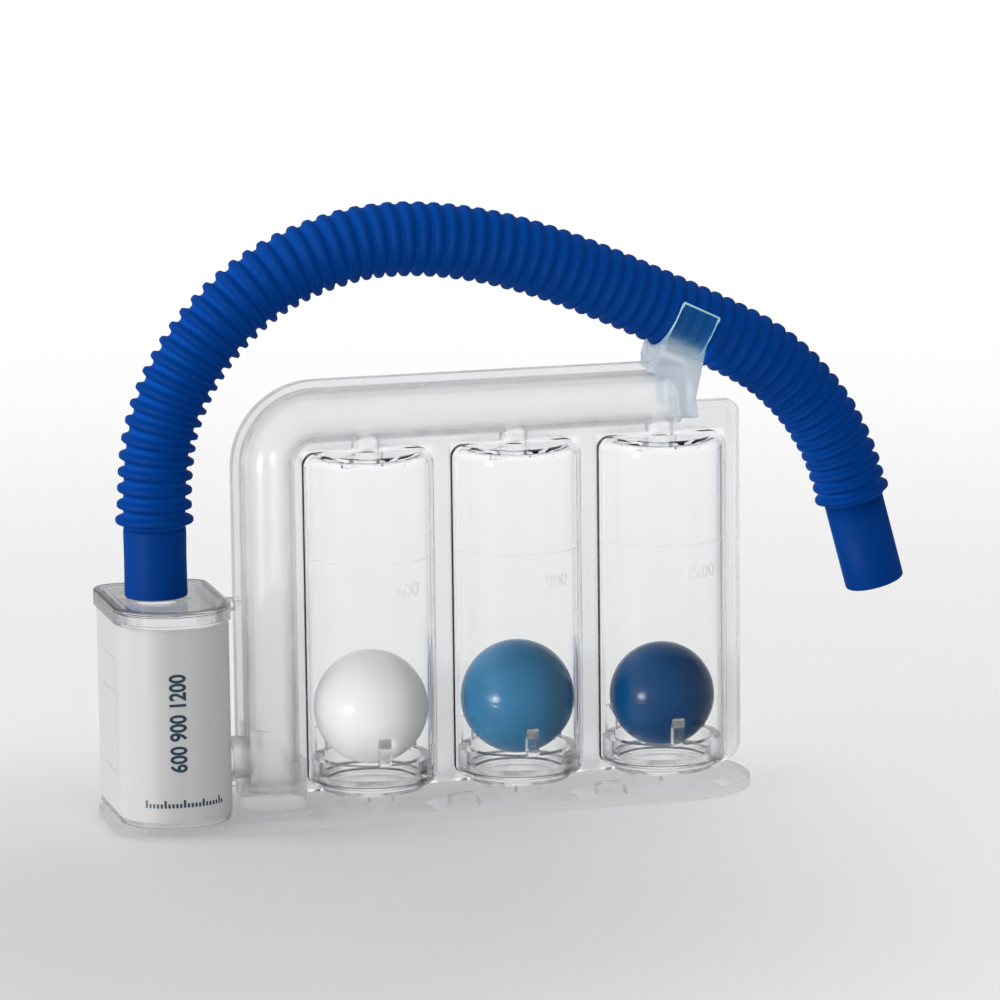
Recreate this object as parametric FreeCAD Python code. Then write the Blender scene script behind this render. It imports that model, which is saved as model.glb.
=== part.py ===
import FreeCAD, Part
import math
import os

# A three-ball breathing exerciser: two clear half shells welded round an air duct and three ball
# columns, standing on a base beside a small filter box, with a corrugated hose on the box's lid.
# Sizes are in millimetres. X runs along the base, Y away from the user and Z up. The origin is the
# middle of the base's underside.

V = FreeCAD.Vector
UP = V(0, 0, 1)

# Base plate
BASE_THICKNESS = 2.6
BASE_LEFT_RADIUS = 14.0
BASE_RIGHT_RADIUS = 22.0
BASE_EDGE_ROUND = 0.6
BASE_SIDE_MARGIN = 0.9        # base beyond the filter box, front and rear
BASE_LEFT_MARGIN = 2.2        # base beyond the filter box
BASE_RIGHT_MARGIN = 2.0       # base beyond the shells' flange
COLLAR_WALL = 1.6             # round collars that carry the ball seats
COLLAR_HEIGHT = 2.6
COLLAR_INSIDE_SKIRT = 3.6     # how far a collar lies inside the seat's skirt
COLLAR_WINDOW_WIDTH = 8.0
COLLAR_WINDOW_HEIGHT = 1.9
COLLAR_WINDOW_ANGLES = (45.0, 135.0)
SOCKET_WALL = 1.5             # cup round the foot of the air duct
SOCKET_LEFT_HEIGHT = 21.0
SOCKET_RIGHT_HEIGHT = 12.5
SOCKET_SLOPE_START = -2.0     # from the duct's middle
SOCKET_SLOPE_END = 3.0
SOCKET_SLOPE_ROUND = 3.0
SOCKET_SLOPE_DROP = 1.0       # of the low side's rim, at its outer edge
PAD_WIDTH = 7.6               # weld pads between the columns
PAD_DEPTH = 5.0
PAD_HEIGHT = 3.4
PAD_BEVEL = 1.2
PAD_INSET = 1.2               # from the base's edge
BOX_RIM_HEIGHT = 1.6          # rim that the filter box stands over
BOX_RIM_WALL = 1.2
EMBED = 0.5                   # how deep a fused feature is rooted in the piece under it
MARGIN = 1.0                  # how far a cutting tool stands clear of what it cuts

# Balls, and the columns they rise in
LARGE_BALL_RADIUS = 15.0
SMALL_BALL_RADIUS = 13.9
BALL_WALL = 1.0
BALL_SIDE_CLEARANCE = 0.8
BALL_REST_GAP = 0.25
SHELL_WALL = 1.5
WELD_GAP = 0.04               # between the two shells' faces
COLUMN_INSIDE_HEIGHT = 85.0
COLUMN_GAP = 5.2
COLUMN_TOP_ROUND = 3.5
COLUMN_FOOT_ROUND = 2.6
COLUMN_BOTTOM_Z = 6.5
COLUMN_LIP_WIDTH = 2.0        # inward lip that the seat rests on
NECK_BORE_RADIUS = 2.9
NECK_WALL = 1.2
STOP_RIB_DEPTH = 1.5          # ribs under the ceiling that stop the ball
STOP_RIB_THICKNESS = 1.4
STOP_RIB_START = 4.6
STOP_RIB_END = 11.5
STOP_RIB_ANGLES = (-45.0, -135.0)

# Ball seats
SEAT_RING_WALL = 2.6
SEAT_RING_HEIGHT = 5.6
SEAT_FIT = 0.15
SEAT_SKIRT_WALL = 1.4
SEAT_SKIRT_CLEARANCE = 0.2
SEAT_FLOOR = 1.2
SEAT_SPIGOT_WALL = 1.1
SEAT_SPIGOT_DEPTH = 1.5
INLET_RADII = (3.2, 3.9, 4.5)  # left, middle and right column
FIN_COUNT = 3
FIN_WIDTH = 2.9
FIN_INSIDE_RING = 0.2
FIN_ROOT = 1.0                # how deep a fin is rooted in the ring
FIN_FRONT_ANGLE = -90.0
FIN_CORNER_RADIUS = 12.5
FIN_CORNER_RISE = 4.15        # from the ring's top to the ball's contact corner
FIN_TIP_RISE = 7.0
FIN_TIP_WIDTH = 1.1

# Air duct and flange of the shells
DUCT_HALF_WIDTH = 7.15
DUCT_HALF_DEPTH = 8.6
DUCT_BEND_RADIUS = 12.85
DUCT_TO_COLUMN = 2.35
DUCT_ABOVE_COLUMN = 2.65
DUCT_END_PAST_COLUMN = 4.3
FLANGE_THICKNESS = 1.2
LIP_THICKNESS = 1.8
LIP_WIDTH = 2.2
FLANGE_RIGHT_WIDTH = 4.0
FLANGE_BOTTOM_Z = 5.0
FLANGE_TOP_STEP_ROUND = 5.5
FLANGE_FOOT_ROUND = 6.0
FLANGE_LEFT_ROUND = 1.0
SHOULDER_ROUND = 3.2
SHOULDER_ABOVE_COLUMN = 8.1
AIR_PORT_Z = 15.0             # where the filter box opens into the duct
AIR_PORT_STAND = 0.6          # of the port's end inside the duct's wall
AIR_PORT_BORE = 3.2
AIR_PORT_WALL = 1.2
AIR_PORT_FIT = 0.1
AIR_COLLAR_WALL = 1.4
AIR_COLLAR_REACH = 1.9

# Filter box, its label, lid and filter
BOX_WIDTH = 28.8
BOX_DEPTH = 43.2
BOX_TOP_Z = 57.7
BOX_FRONT_FLAT = 2.8          # between the two rounds of its front
BOX_REAR_RADIUS = 5.0
BOX_WALL = 1.4
BOX_FLOOR = 1.4
BOX_TO_FLANGE = 3.95
LABEL_THICKNESS = 0.3
LABEL_ABOVE_BASE = 1.7
LABEL_UNDER_LID = 0.2
LABEL_LEFT_END_Y = 16.5
LABEL_RIGHT_END_Y = -7.0
LID_TOP_THICKNESS = 1.4
LID_SKIRT_WALL = 0.8
LID_SKIRT_HEIGHT = 2.8
LID_FIT = 0.1
LID_PLUG_WALL = 1.2
LID_PLUG_HEIGHT = 2.6
LID_EDGE_ROUND = 0.6
PORT_X_FROM_BOX = -2.1        # from the box's middle
PORT_BOSS_RADIUS = 9.2
PORT_BOSS_HEIGHT = 0.5
PORT_BORE = 5.3
PORT_WALL = 1.35
PORT_LENGTH = 11.0
LATCH_WIDTH = 6.4
LATCH_THICKNESS = 2.4
LATCH_SLOT_CLEARANCE = 0.15
LATCH_REACH = 1.7             # over the flange's left edge
FILTER_HEIGHT = 12.0
FILTER_BOTTOM_Z = 30.0
FILTER_CLEARANCE = 0.3
FILTER_RIB_WIDTH = 1.6
FILTER_RIB_DEPTH = 2.2

# Hose, its cuff and mouthpiece
HOSE_RADIUS = 9.7
HOSE_BORE = 7.4
CUFF_RADIUS = 8.15
CUFF_FIT = 0.1
MOUTHPIECE_LENGTH = 23.8
MOUTHPIECE_RADIUS = 7.9
MOUTHPIECE_BORE = 6.5
MOUTHPIECE_EDGE_ROUND = 0.5
ARC_SHARE = 0.45
# The hose lies in the plane of the flange. Each point is X and Z, for a port, a duct's end and a
# shoulder at the three places below. With other sizes the route is stretched and lifted with them.
HOSE_POINTS = [
    (-72.5, 77.6), (-72.5, 94.8), (-67.8, 111.2), (-58.9, 125.7), (-46.5, 137.4), (-31.4, 145.4),
    (-12.0, 150.0), (12.0, 147.9), (36.5, 140.5), (69.3, 125.5), (88.1, 116.3), (96.7, 110.1),
    (104.1, 102.5), (110.1, 93.8), (114.6, 84.1), (117.3, 73.9),
]
ROUTE_PORT_X = -72.5
ROUTE_PORT_Z = 59.6
ROUTE_DUCT_END_X = 68.0
ROUTE_SHOULDER_Z = 102.6

# Hose clip
CLIP_PAST_DUCT_END = 2.56     # middle of its saddle, along X
CLIP_CLEARANCE = 0.25
CLIP_WALL = 1.25
CLIP_WIDTH = 11.0
CLIP_HALF_WRAP = 105.0        # degrees from its bottom, each side
CLIP_LIP_RADIUS = 1.1
CLIP_FOOT_LENGTH = 5.2
CLIP_FOOT_BELOW_SHOULDER = 4.0
CLIP_FOOT_HALF_DEPTH = 4.2
CLIP_STEM_LENGTH = 4.1        # at its waist
CLIP_OVER_FLANGE = 0.35
CLIP_STEM_TOP_START = -4.8    # along the saddle from its middle
CLIP_STEM_TOP_END = 5.3
CLIP_SLOT_CLEARANCE = 0.15

# Worked out from the sizes above
BORE_RADIUS = LARGE_BALL_RADIUS + BALL_SIDE_CLEARANCE
COLUMN_RADIUS = BORE_RADIUS + SHELL_WALL
COLUMN_PITCH = 2 * COLUMN_RADIUS + COLUMN_GAP
COLUMN_FLOOR_Z = COLUMN_BOTTOM_Z + SHELL_WALL
CEILING_Z = COLUMN_FLOOR_Z + COLUMN_INSIDE_HEIGHT
COLUMN_TOP_Z = CEILING_Z + SHELL_WALL
SHOULDER_Z = COLUMN_TOP_Z + SHOULDER_ABOVE_COLUMN
DUCT_Z = COLUMN_TOP_Z + DUCT_ABOVE_COLUMN + DUCT_HALF_WIDTH
BOX_FRONT_RADIUS = (BOX_WIDTH - BOX_FRONT_FLAT) / 2

BASE_LENGTH = (BASE_LEFT_MARGIN + BOX_WIDTH + BOX_TO_FLANGE + LIP_WIDTH + 2 * DUCT_HALF_WIDTH
               + DUCT_TO_COLUMN + 2 * COLUMN_PITCH + 2 * COLUMN_RADIUS + FLANGE_RIGHT_WIDTH
               + BASE_RIGHT_MARGIN)
BASE_DEPTH = BOX_DEPTH + 2 * BASE_SIDE_MARGIN
BASE_LEFT_X = -BASE_LENGTH / 2
BASE_RIGHT_X = BASE_LENGTH / 2
BOX_LEFT_X = BASE_LEFT_X + BASE_LEFT_MARGIN
BOX_RIGHT_X = BOX_LEFT_X + BOX_WIDTH
FLANGE_LEFT_X = BOX_RIGHT_X + BOX_TO_FLANGE
DUCT_X = FLANGE_LEFT_X + LIP_WIDTH + DUCT_HALF_WIDTH
FIRST_COLUMN_X = DUCT_X + DUCT_HALF_WIDTH + DUCT_TO_COLUMN + COLUMN_RADIUS
COLUMN_XS = [FIRST_COLUMN_X + index * COLUMN_PITCH for index in range(3)]
DUCT_END_X = COLUMN_XS[-1] + DUCT_END_PAST_COLUMN
FLANGE_RIGHT_X = COLUMN_XS[-1] + COLUMN_RADIUS + FLANGE_RIGHT_WIDTH
FLANGE_TOP_Z = DUCT_Z + DUCT_HALF_WIDTH + LIP_WIDTH
PORT_X = BOX_LEFT_X + BOX_WIDTH / 2 + PORT_X_FROM_BOX

SEAT_BOTTOM_Z = BASE_THICKNESS + COLLAR_HEIGHT
SEAT_TOP_Z = COLUMN_FLOOR_Z + SEAT_RING_HEIGHT
SEAT_SKIRT_RADIUS = BORE_RADIUS - COLUMN_LIP_WIDTH - SEAT_SKIRT_CLEARANCE
COLLAR_RADIUS = SEAT_SKIRT_RADIUS - COLLAR_INSIDE_SKIRT
LID_TOP_Z = BOX_TOP_Z + LID_TOP_THICKNESS
LABEL_BOTTOM_Z = BASE_THICKNESS + LABEL_ABOVE_BASE
LABEL_TOP_Z = BOX_TOP_Z - LID_SKIRT_HEIGHT - LABEL_UNDER_LID
CUFF_BOTTOM_Z = LID_TOP_Z + PORT_BOSS_HEIGHT
CLIP_FOOT_BOTTOM_Z = SHOULDER_Z - CLIP_FOOT_BELOW_SHOULDER
BALL_RADII = (LARGE_BALL_RADIUS, LARGE_BALL_RADIUS, SMALL_BALL_RADIUS)
SIDES = ("left", "middle", "right")


def cylinder(radius, bottom, top, x=0.0, y=0.0):
    return Part.makeCylinder(radius, top - bottom, V(x, y, bottom))


def tube(outer, inner, bottom, top, x=0.0, y=0.0):
    return cylinder(outer, bottom, top, x, y).cut(cylinder(inner, bottom, top, x, y))


def block(left, right, front, rear, bottom, top):
    return Part.makeBox(right - left, rear - front, top - bottom, V(left, front, bottom))


def fuse(shapes):
    result = shapes[0].multiFuse(shapes[1:]) if len(shapes) > 1 else shapes[0]
    return result.removeSplitter()


def rounded_outline(corners):
    """Closed wire through corners, each a point and the radius that rounds it."""
    edges = []
    ends = []
    for index, (point, radius) in enumerate(corners):
        before = (corners[index - 1][0] - point).normalize()
        after = (corners[(index + 1) % len(corners)][0] - point).normalize()
        half = before.getAngle(after) / 2
        reach = radius / math.tan(half)
        if reach < 1e-6:
            ends.append((point, point))
            continue
        start = point + before * reach
        end = point + after * reach
        inward = (before + after).normalize()
        middle = point + inward * (radius / math.sin(half) - radius)
        edges.append(Part.Arc(start, middle, end).toShape())
        ends.append((start, end))
    for index, (start, end) in enumerate(ends):
        follower = ends[(index + 1) % len(ends)][0]
        if end.distanceToPoint(follower) > 1e-6:
            edges.append(Part.LineSegment(end, follower).toShape())
    return Part.Wire(Part.__sortEdges__(edges))


def prism(wire, direction):
    return Part.Face(wire).extrude(direction)


def box_plan(grow, bottom, top):
    """Solid with the filter box's plan, grown or shrunk all round, between two heights."""
    left, right = BOX_LEFT_X - grow, BOX_RIGHT_X + grow
    front, rear = -BOX_DEPTH / 2 - grow, BOX_DEPTH / 2 + grow
    corners = [
        (V(left, front, bottom), BOX_FRONT_RADIUS + grow), (V(right, front, bottom), BOX_FRONT_RADIUS + grow),
        (V(right, rear, bottom), BOX_REAR_RADIUS + grow), (V(left, rear, bottom), BOX_REAR_RADIUS + grow),
    ]
    return prism(rounded_outline(corners), V(0, 0, top - bottom))


def box_ring(outer_grow, inner_grow, bottom, top):
    return box_plan(outer_grow, bottom, top).cut(box_plan(inner_grow, bottom, top))


def upright_ellipse(x, half_width, half_depth, z):
    """Face in a level plane, wide along Y when the depth is the larger half."""
    centre = V(x, 0, z)
    curve = Part.Ellipse(centre + V(0, half_depth, 0), centre + V(half_width, 0, 0), centre)
    return Part.Face(Part.Wire(curve.toShape()))


def duct_solid(inset, end_x):
    """The air duct's solid, drawn in by inset: up from its foot, round the bend and along to its end."""
    half_width, half_depth = DUCT_HALF_WIDTH - inset, DUCT_HALF_DEPTH - inset
    bend_z = DUCT_Z - DUCT_BEND_RADIUS
    bend_x = DUCT_X + DUCT_BEND_RADIUS
    leg = upright_ellipse(DUCT_X, half_width, half_depth, COLUMN_BOTTOM_Z + inset)
    leg = leg.extrude(V(0, 0, bend_z - COLUMN_BOTTOM_Z - inset))
    bend_start = upright_ellipse(DUCT_X, half_width, half_depth, bend_z)
    bend = bend_start.revolve(V(bend_x, 0, bend_z), V(0, 1, 0), 90)
    turned = bend_start.copy()
    turned.rotate(V(bend_x, 0, bend_z), V(0, 1, 0), 90)
    run = turned.extrude(V(end_x - bend_x, 0, 0))
    return fuse([leg, bend, run])


def column_outside(x):
    column = cylinder(COLUMN_RADIUS, COLUMN_BOTTOM_Z, COLUMN_TOP_Z, x)
    top = [edge for edge in column.Edges if abs(edge.BoundBox.ZMin - COLUMN_TOP_Z) < 1e-6]
    column = column.makeFillet(COLUMN_TOP_ROUND, top)
    foot = [edge for edge in column.Edges if abs(edge.BoundBox.ZMax - COLUMN_BOTTOM_Z) < 1e-6]
    return column.makeFillet(COLUMN_FOOT_ROUND, foot)


def column_inside(x):
    chamber = cylinder(BORE_RADIUS, COLUMN_FLOOR_Z, CEILING_Z, x)
    top = [edge for edge in chamber.Edges if abs(edge.BoundBox.ZMin - CEILING_Z) < 1e-6]
    chamber = chamber.makeFillet(COLUMN_TOP_ROUND - SHELL_WALL, top)
    mouth = cylinder(BORE_RADIUS - COLUMN_LIP_WIDTH, BASE_THICKNESS, COLUMN_FLOOR_Z + MARGIN, x)
    neck = cylinder(NECK_BORE_RADIUS, CEILING_Z - MARGIN, DUCT_Z, x)
    return fuse([chamber, mouth, neck])


def flange_outline():
    """Corners of the flange's outline in the parting plane, each with its rounding."""
    corner = DUCT_BEND_RADIUS + DUCT_HALF_WIDTH + LIP_WIDTH
    return [
        (V(FLANGE_LEFT_X, WELD_GAP / 2, FLANGE_BOTTOM_Z), FLANGE_LEFT_ROUND),
        (V(FLANGE_LEFT_X, WELD_GAP / 2, FLANGE_TOP_Z), corner),
        (V(DUCT_END_X, WELD_GAP / 2, FLANGE_TOP_Z), FLANGE_TOP_STEP_ROUND),
        (V(DUCT_END_X, WELD_GAP / 2, SHOULDER_Z), 0.0),
        (V(FLANGE_RIGHT_X, WELD_GAP / 2, SHOULDER_Z), SHOULDER_ROUND),
        (V(FLANGE_RIGHT_X, WELD_GAP / 2, FLANGE_BOTTOM_Z), FLANGE_FOOT_ROUND),
    ]


def half_flange():
    """One shell's half of the flange, with its thicker lip, on the side of positive Y."""
    wire = rounded_outline(flange_outline())
    web = prism(wire, V(0, FLANGE_THICKNESS, 0))
    lip = Part.Face(wire).cut(Part.Face(wire.makeOffset2D(-LIP_WIDTH))).extrude(V(0, LIP_THICKNESS, 0))
    return web.fuse(lip)


def stop_ribs(x):
    """Short ribs under a column's ceiling, in the half of positive Y."""
    ribs = []
    for angle in STOP_RIB_ANGLES:
        rib = block(STOP_RIB_START, STOP_RIB_END, -STOP_RIB_THICKNESS / 2, STOP_RIB_THICKNESS / 2,
                    CEILING_Z - STOP_RIB_DEPTH, CEILING_Z + SHELL_WALL / 2)
        rib.rotate(V(0, 0, 0), UP, -angle)
        rib.translate(V(x, 0, 0))
        ribs.append(rib)
    return ribs


def half_shell():
    """The shell on the side of positive Y."""
    outside = [duct_solid(0, DUCT_END_X)]
    inside = [duct_solid(SHELL_WALL, DUCT_END_X - SHELL_WALL)]
    for x in COLUMN_XS:
        outside.append(column_outside(x))
        outside.append(cylinder(NECK_BORE_RADIUS + NECK_WALL, CEILING_Z, DUCT_Z - DUCT_HALF_WIDTH / 2, x))
        inside.append(column_inside(x))
    collar_end = FLANGE_LEFT_X - AIR_COLLAR_REACH
    bore = AIR_PORT_BORE + AIR_PORT_WALL + AIR_PORT_FIT
    outside.append(Part.makeCylinder(bore + AIR_COLLAR_WALL, DUCT_X - DUCT_HALF_WIDTH / 2 - collar_end,
                                     V(collar_end, 0, AIR_PORT_Z), V(1, 0, 0)))
    inside.append(Part.makeCylinder(bore, DUCT_X - collar_end, V(collar_end, 0, AIR_PORT_Z), V(1, 0, 0)))
    reach = 2 * BASE_LENGTH
    half_space = block(-reach, reach, WELD_GAP / 2, reach, -reach, reach)
    body = fuse([fuse(outside).common(half_space), half_flange()])
    shell = body.cut(fuse(inside))
    ribs = [rib for x in COLUMN_XS for rib in stop_ribs(x)]
    return fuse([shell] + ribs)


def ball_seat(x, inlet):
    """Cup with a ring inside the column, a floor with the air inlet and fins that carry the ball."""
    ring_radius = BORE_RADIUS - SEAT_FIT
    ring_inside = ring_radius - SEAT_RING_WALL
    skirt_inside = SEAT_SKIRT_RADIUS - SEAT_SKIRT_WALL
    spigot_radius = COLLAR_RADIUS - COLLAR_WALL - SEAT_FIT
    spigot_z = SEAT_BOTTOM_Z - SEAT_SPIGOT_DEPTH
    floor_z = SEAT_BOTTOM_Z + SEAT_FLOOR
    corners = [
        (inlet, SEAT_BOTTOM_Z), (spigot_radius - SEAT_SPIGOT_WALL, SEAT_BOTTOM_Z),
        (spigot_radius - SEAT_SPIGOT_WALL, spigot_z), (spigot_radius, spigot_z),
        (spigot_radius, SEAT_BOTTOM_Z), (SEAT_SKIRT_RADIUS, SEAT_BOTTOM_Z),
        (SEAT_SKIRT_RADIUS, COLUMN_FLOOR_Z), (ring_radius, COLUMN_FLOOR_Z), (ring_radius, SEAT_TOP_Z),
        (ring_inside, SEAT_TOP_Z), (ring_inside, COLUMN_FLOOR_Z + SEAT_SKIRT_WALL),
        (skirt_inside, COLUMN_FLOOR_Z), (skirt_inside, floor_z), (inlet, floor_z),
    ]
    profile = Part.makePolygon([V(radius, 0, z) for radius, z in corners + corners[:1]])
    cup = Part.Face(profile).revolve(V(0, 0, 0), UP, 360)

    fin_top = SEAT_TOP_Z + FIN_TIP_RISE
    fin_root = SEAT_TOP_Z - FIN_ROOT
    fin_outside = ring_radius - FIN_INSIDE_RING
    fin_corners = [
        (FIN_CORNER_RADIUS, fin_root), (fin_outside, fin_root), (fin_outside, fin_top),
        (fin_outside - FIN_TIP_WIDTH, fin_top), (FIN_CORNER_RADIUS, SEAT_TOP_Z + FIN_CORNER_RISE),
    ]
    outline = Part.makePolygon([V(radius, -FIN_WIDTH / 2, z) for radius, z in fin_corners + fin_corners[:1]])
    pieces = [cup]
    for index in range(FIN_COUNT):
        fin = prism(outline, V(0, FIN_WIDTH, 0))
        fin = fin.common(cylinder(ring_radius, COLUMN_BOTTOM_Z, fin_top))
        fin.rotate(V(0, 0, 0), UP, FIN_FRONT_ANGLE + index * 360 / FIN_COUNT)
        pieces.append(fin)
    seat = fuse(pieces)
    seat.translate(V(x, 0, 0))
    return seat


def ball_rest_height(radius):
    contact_z = SEAT_TOP_Z + FIN_CORNER_RISE
    return contact_z + math.sqrt((radius + BALL_REST_GAP) ** 2 - FIN_CORNER_RADIUS ** 2)


def ball_top_height(radius):
    rib_z = CEILING_Z - STOP_RIB_DEPTH
    return rib_z - math.sqrt((radius + BALL_REST_GAP) ** 2 - STOP_RIB_START ** 2)


def ball(x, radius):
    centre = V(x, 0, ball_rest_height(radius))
    return Part.makeSphere(radius, centre).cut(Part.makeSphere(radius - BALL_WALL, centre))


def base_outline():
    front, rear = -BASE_DEPTH / 2, BASE_DEPTH / 2
    return rounded_outline([
        (V(BASE_LEFT_X, front, 0), BASE_LEFT_RADIUS), (V(BASE_RIGHT_X, front, 0), BASE_RIGHT_RADIUS),
        (V(BASE_RIGHT_X, rear, 0), BASE_RIGHT_RADIUS), (V(BASE_LEFT_X, rear, 0), BASE_LEFT_RADIUS),
    ])


def seat_collar(x):
    """Collar under a ball seat, with four windows that let the air in."""
    collar = tube(COLLAR_RADIUS, COLLAR_RADIUS - COLLAR_WALL, BASE_THICKNESS - EMBED, SEAT_BOTTOM_Z, x)
    for angle in COLLAR_WINDOW_ANGLES:
        window = block(-2 * COLLAR_RADIUS, 2 * COLLAR_RADIUS, -COLLAR_WINDOW_WIDTH / 2, COLLAR_WINDOW_WIDTH / 2,
                       BASE_THICKNESS, BASE_THICKNESS + COLLAR_WINDOW_HEIGHT)
        window.rotate(V(0, 0, 0), UP, angle)
        window.translate(V(x, 0, 0))
        collar = collar.cut(window)
    return collar


def duct_socket():
    """Cup on the base that holds the duct's foot, slotted for the flange and sloped along its rim."""
    clearance = SEAT_FIT
    bottom = BASE_THICKNESS - EMBED
    inside_x, inside_y = DUCT_HALF_WIDTH + clearance, DUCT_HALF_DEPTH + clearance
    top = BASE_THICKNESS + SOCKET_LEFT_HEIGHT
    outer = upright_ellipse(DUCT_X, inside_x + SOCKET_WALL, inside_y + SOCKET_WALL, bottom)
    outer = outer.extrude(V(0, 0, top - bottom))
    inner = upright_ellipse(DUCT_X, inside_x, inside_y, COLUMN_BOTTOM_Z).extrude(V(0, 0, top))
    left = DUCT_X - inside_x - SOCKET_WALL - MARGIN
    right = DUCT_X + inside_x + SOCKET_WALL + MARGIN
    low = BASE_THICKNESS + SOCKET_RIGHT_HEIGHT
    front = -BASE_DEPTH
    slope = prism(rounded_outline([
        (V(left, front, top), 0.0), (V(DUCT_X + SOCKET_SLOPE_START, front, top), SOCKET_SLOPE_ROUND),
        (V(DUCT_X + SOCKET_SLOPE_END, front, low), SOCKET_SLOPE_ROUND),
        (V(right, front, low - SOCKET_SLOPE_DROP), 0.0),
        (V(right, front, top + MARGIN), 0.0), (V(left, front, top + MARGIN), 0.0),
    ]), V(0, 2 * BASE_DEPTH, 0))
    slot_half = LIP_THICKNESS + clearance
    slot = block(left, right, -slot_half, slot_half, FLANGE_BOTTOM_Z, top)
    bore = AIR_PORT_BORE + AIR_PORT_WALL + AIR_PORT_FIT + AIR_COLLAR_WALL + clearance
    collar_gap = block(left, DUCT_X, -bore, bore, AIR_PORT_Z - bore, top)
    return outer.cut(inner).cut(slope).cut(slot).cut(collar_gap)


def weld_pads():
    """Bevelled pads on the base between the columns, front and rear."""
    pads = []
    for index in range(2):
        x = (COLUMN_XS[index] + COLUMN_XS[index + 1]) / 2
        for side in (-1, 1):
            y = side * (BASE_DEPTH / 2 - PAD_DEPTH / 2 - PAD_INSET)
            pad = block(x - PAD_WIDTH / 2, x + PAD_WIDTH / 2, y - PAD_DEPTH / 2, y + PAD_DEPTH / 2,
                        BASE_THICKNESS - EMBED, BASE_THICKNESS + PAD_HEIGHT)
            top = [edge for edge in pad.Edges if edge.BoundBox.ZMin > BASE_THICKNESS + PAD_HEIGHT / 2]
            pads.append(pad.makeChamfer(PAD_BEVEL, top))
    return pads


def base_plate():
    plate = prism(base_outline(), V(0, 0, BASE_THICKNESS))
    top = [edge for edge in plate.Edges if edge.BoundBox.ZMin > BASE_THICKNESS / 2]
    plate = plate.makeFillet(BASE_EDGE_ROUND, top)
    rim_grow = -BOX_WALL - LID_FIT
    rim = box_ring(rim_grow, rim_grow - BOX_RIM_WALL, BASE_THICKNESS - EMBED, BASE_THICKNESS + BOX_RIM_HEIGHT)
    pieces = [plate, rim, duct_socket()]
    pieces += [seat_collar(x) for x in COLUMN_XS]
    pieces += weld_pads()
    return fuse(pieces)


def filter_box():
    """Open-topped box with ribs that carry the filter and a port that plugs into the duct."""
    floor_z = BASE_THICKNESS + BOX_RIM_HEIGHT + LID_FIT
    outside = box_plan(0, BASE_THICKNESS, BOX_TOP_Z)
    inside = box_plan(-BOX_WALL, floor_z + BOX_FLOOR, BOX_TOP_Z)
    recess = box_plan(-BOX_WALL, BASE_THICKNESS, floor_z)
    ribs = []
    middle_x = BOX_LEFT_X + BOX_WIDTH / 2
    for y in (-BOX_DEPTH / 4, BOX_DEPTH / 4):
        for wall_x, inward in ((BOX_LEFT_X, 1), (BOX_RIGHT_X, -1)):
            near, far = sorted((wall_x + inward * BOX_WALL / 2, wall_x + inward * (BOX_WALL + FILTER_RIB_DEPTH)))
            ribs.append(block(near, far, y - FILTER_RIB_WIDTH / 2, y + FILTER_RIB_WIDTH / 2,
                              floor_z + BOX_FLOOR / 2, FILTER_BOTTOM_Z))
    for wall_y, inward in ((-BOX_DEPTH / 2, 1), (BOX_DEPTH / 2, -1)):
        near, far = sorted((wall_y + inward * BOX_WALL / 2, wall_y + inward * (BOX_WALL + FILTER_RIB_DEPTH)))
        ribs.append(block(middle_x - FILTER_RIB_WIDTH / 2, middle_x + FILTER_RIB_WIDTH / 2, near, far,
                          floor_z + BOX_FLOOR / 2, FILTER_BOTTOM_Z))
    port_end = DUCT_X - DUCT_HALF_WIDTH + SHELL_WALL + AIR_PORT_STAND
    start = V(BOX_RIGHT_X - BOX_WALL / 2, 0, AIR_PORT_Z)
    port = Part.makeCylinder(AIR_PORT_BORE + AIR_PORT_WALL, port_end - start.x, start, V(1, 0, 0))
    bore = Part.makeCylinder(AIR_PORT_BORE, port_end - start.x + BOX_WALL, start - V(BOX_WALL, 0, 0), V(1, 0, 0))
    return fuse([outside.cut(inside).cut(recess), port] + ribs).cut(bore)


def box_label():
    """Sheet that wraps the box's left side, front and part of its right side."""
    sheet = box_ring(LABEL_THICKNESS, 0, LABEL_BOTTOM_Z, LABEL_TOP_Z)
    middle_x = BOX_LEFT_X + BOX_WIDTH / 2
    top = LABEL_TOP_Z + MARGIN
    left = block(BOX_LEFT_X - MARGIN, middle_x, LABEL_LEFT_END_Y, BOX_DEPTH, 0, top)
    right = block(middle_x, BOX_RIGHT_X + MARGIN, LABEL_RIGHT_END_Y, BOX_DEPTH, 0, top)
    return sheet.cut(left).cut(right)


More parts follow.
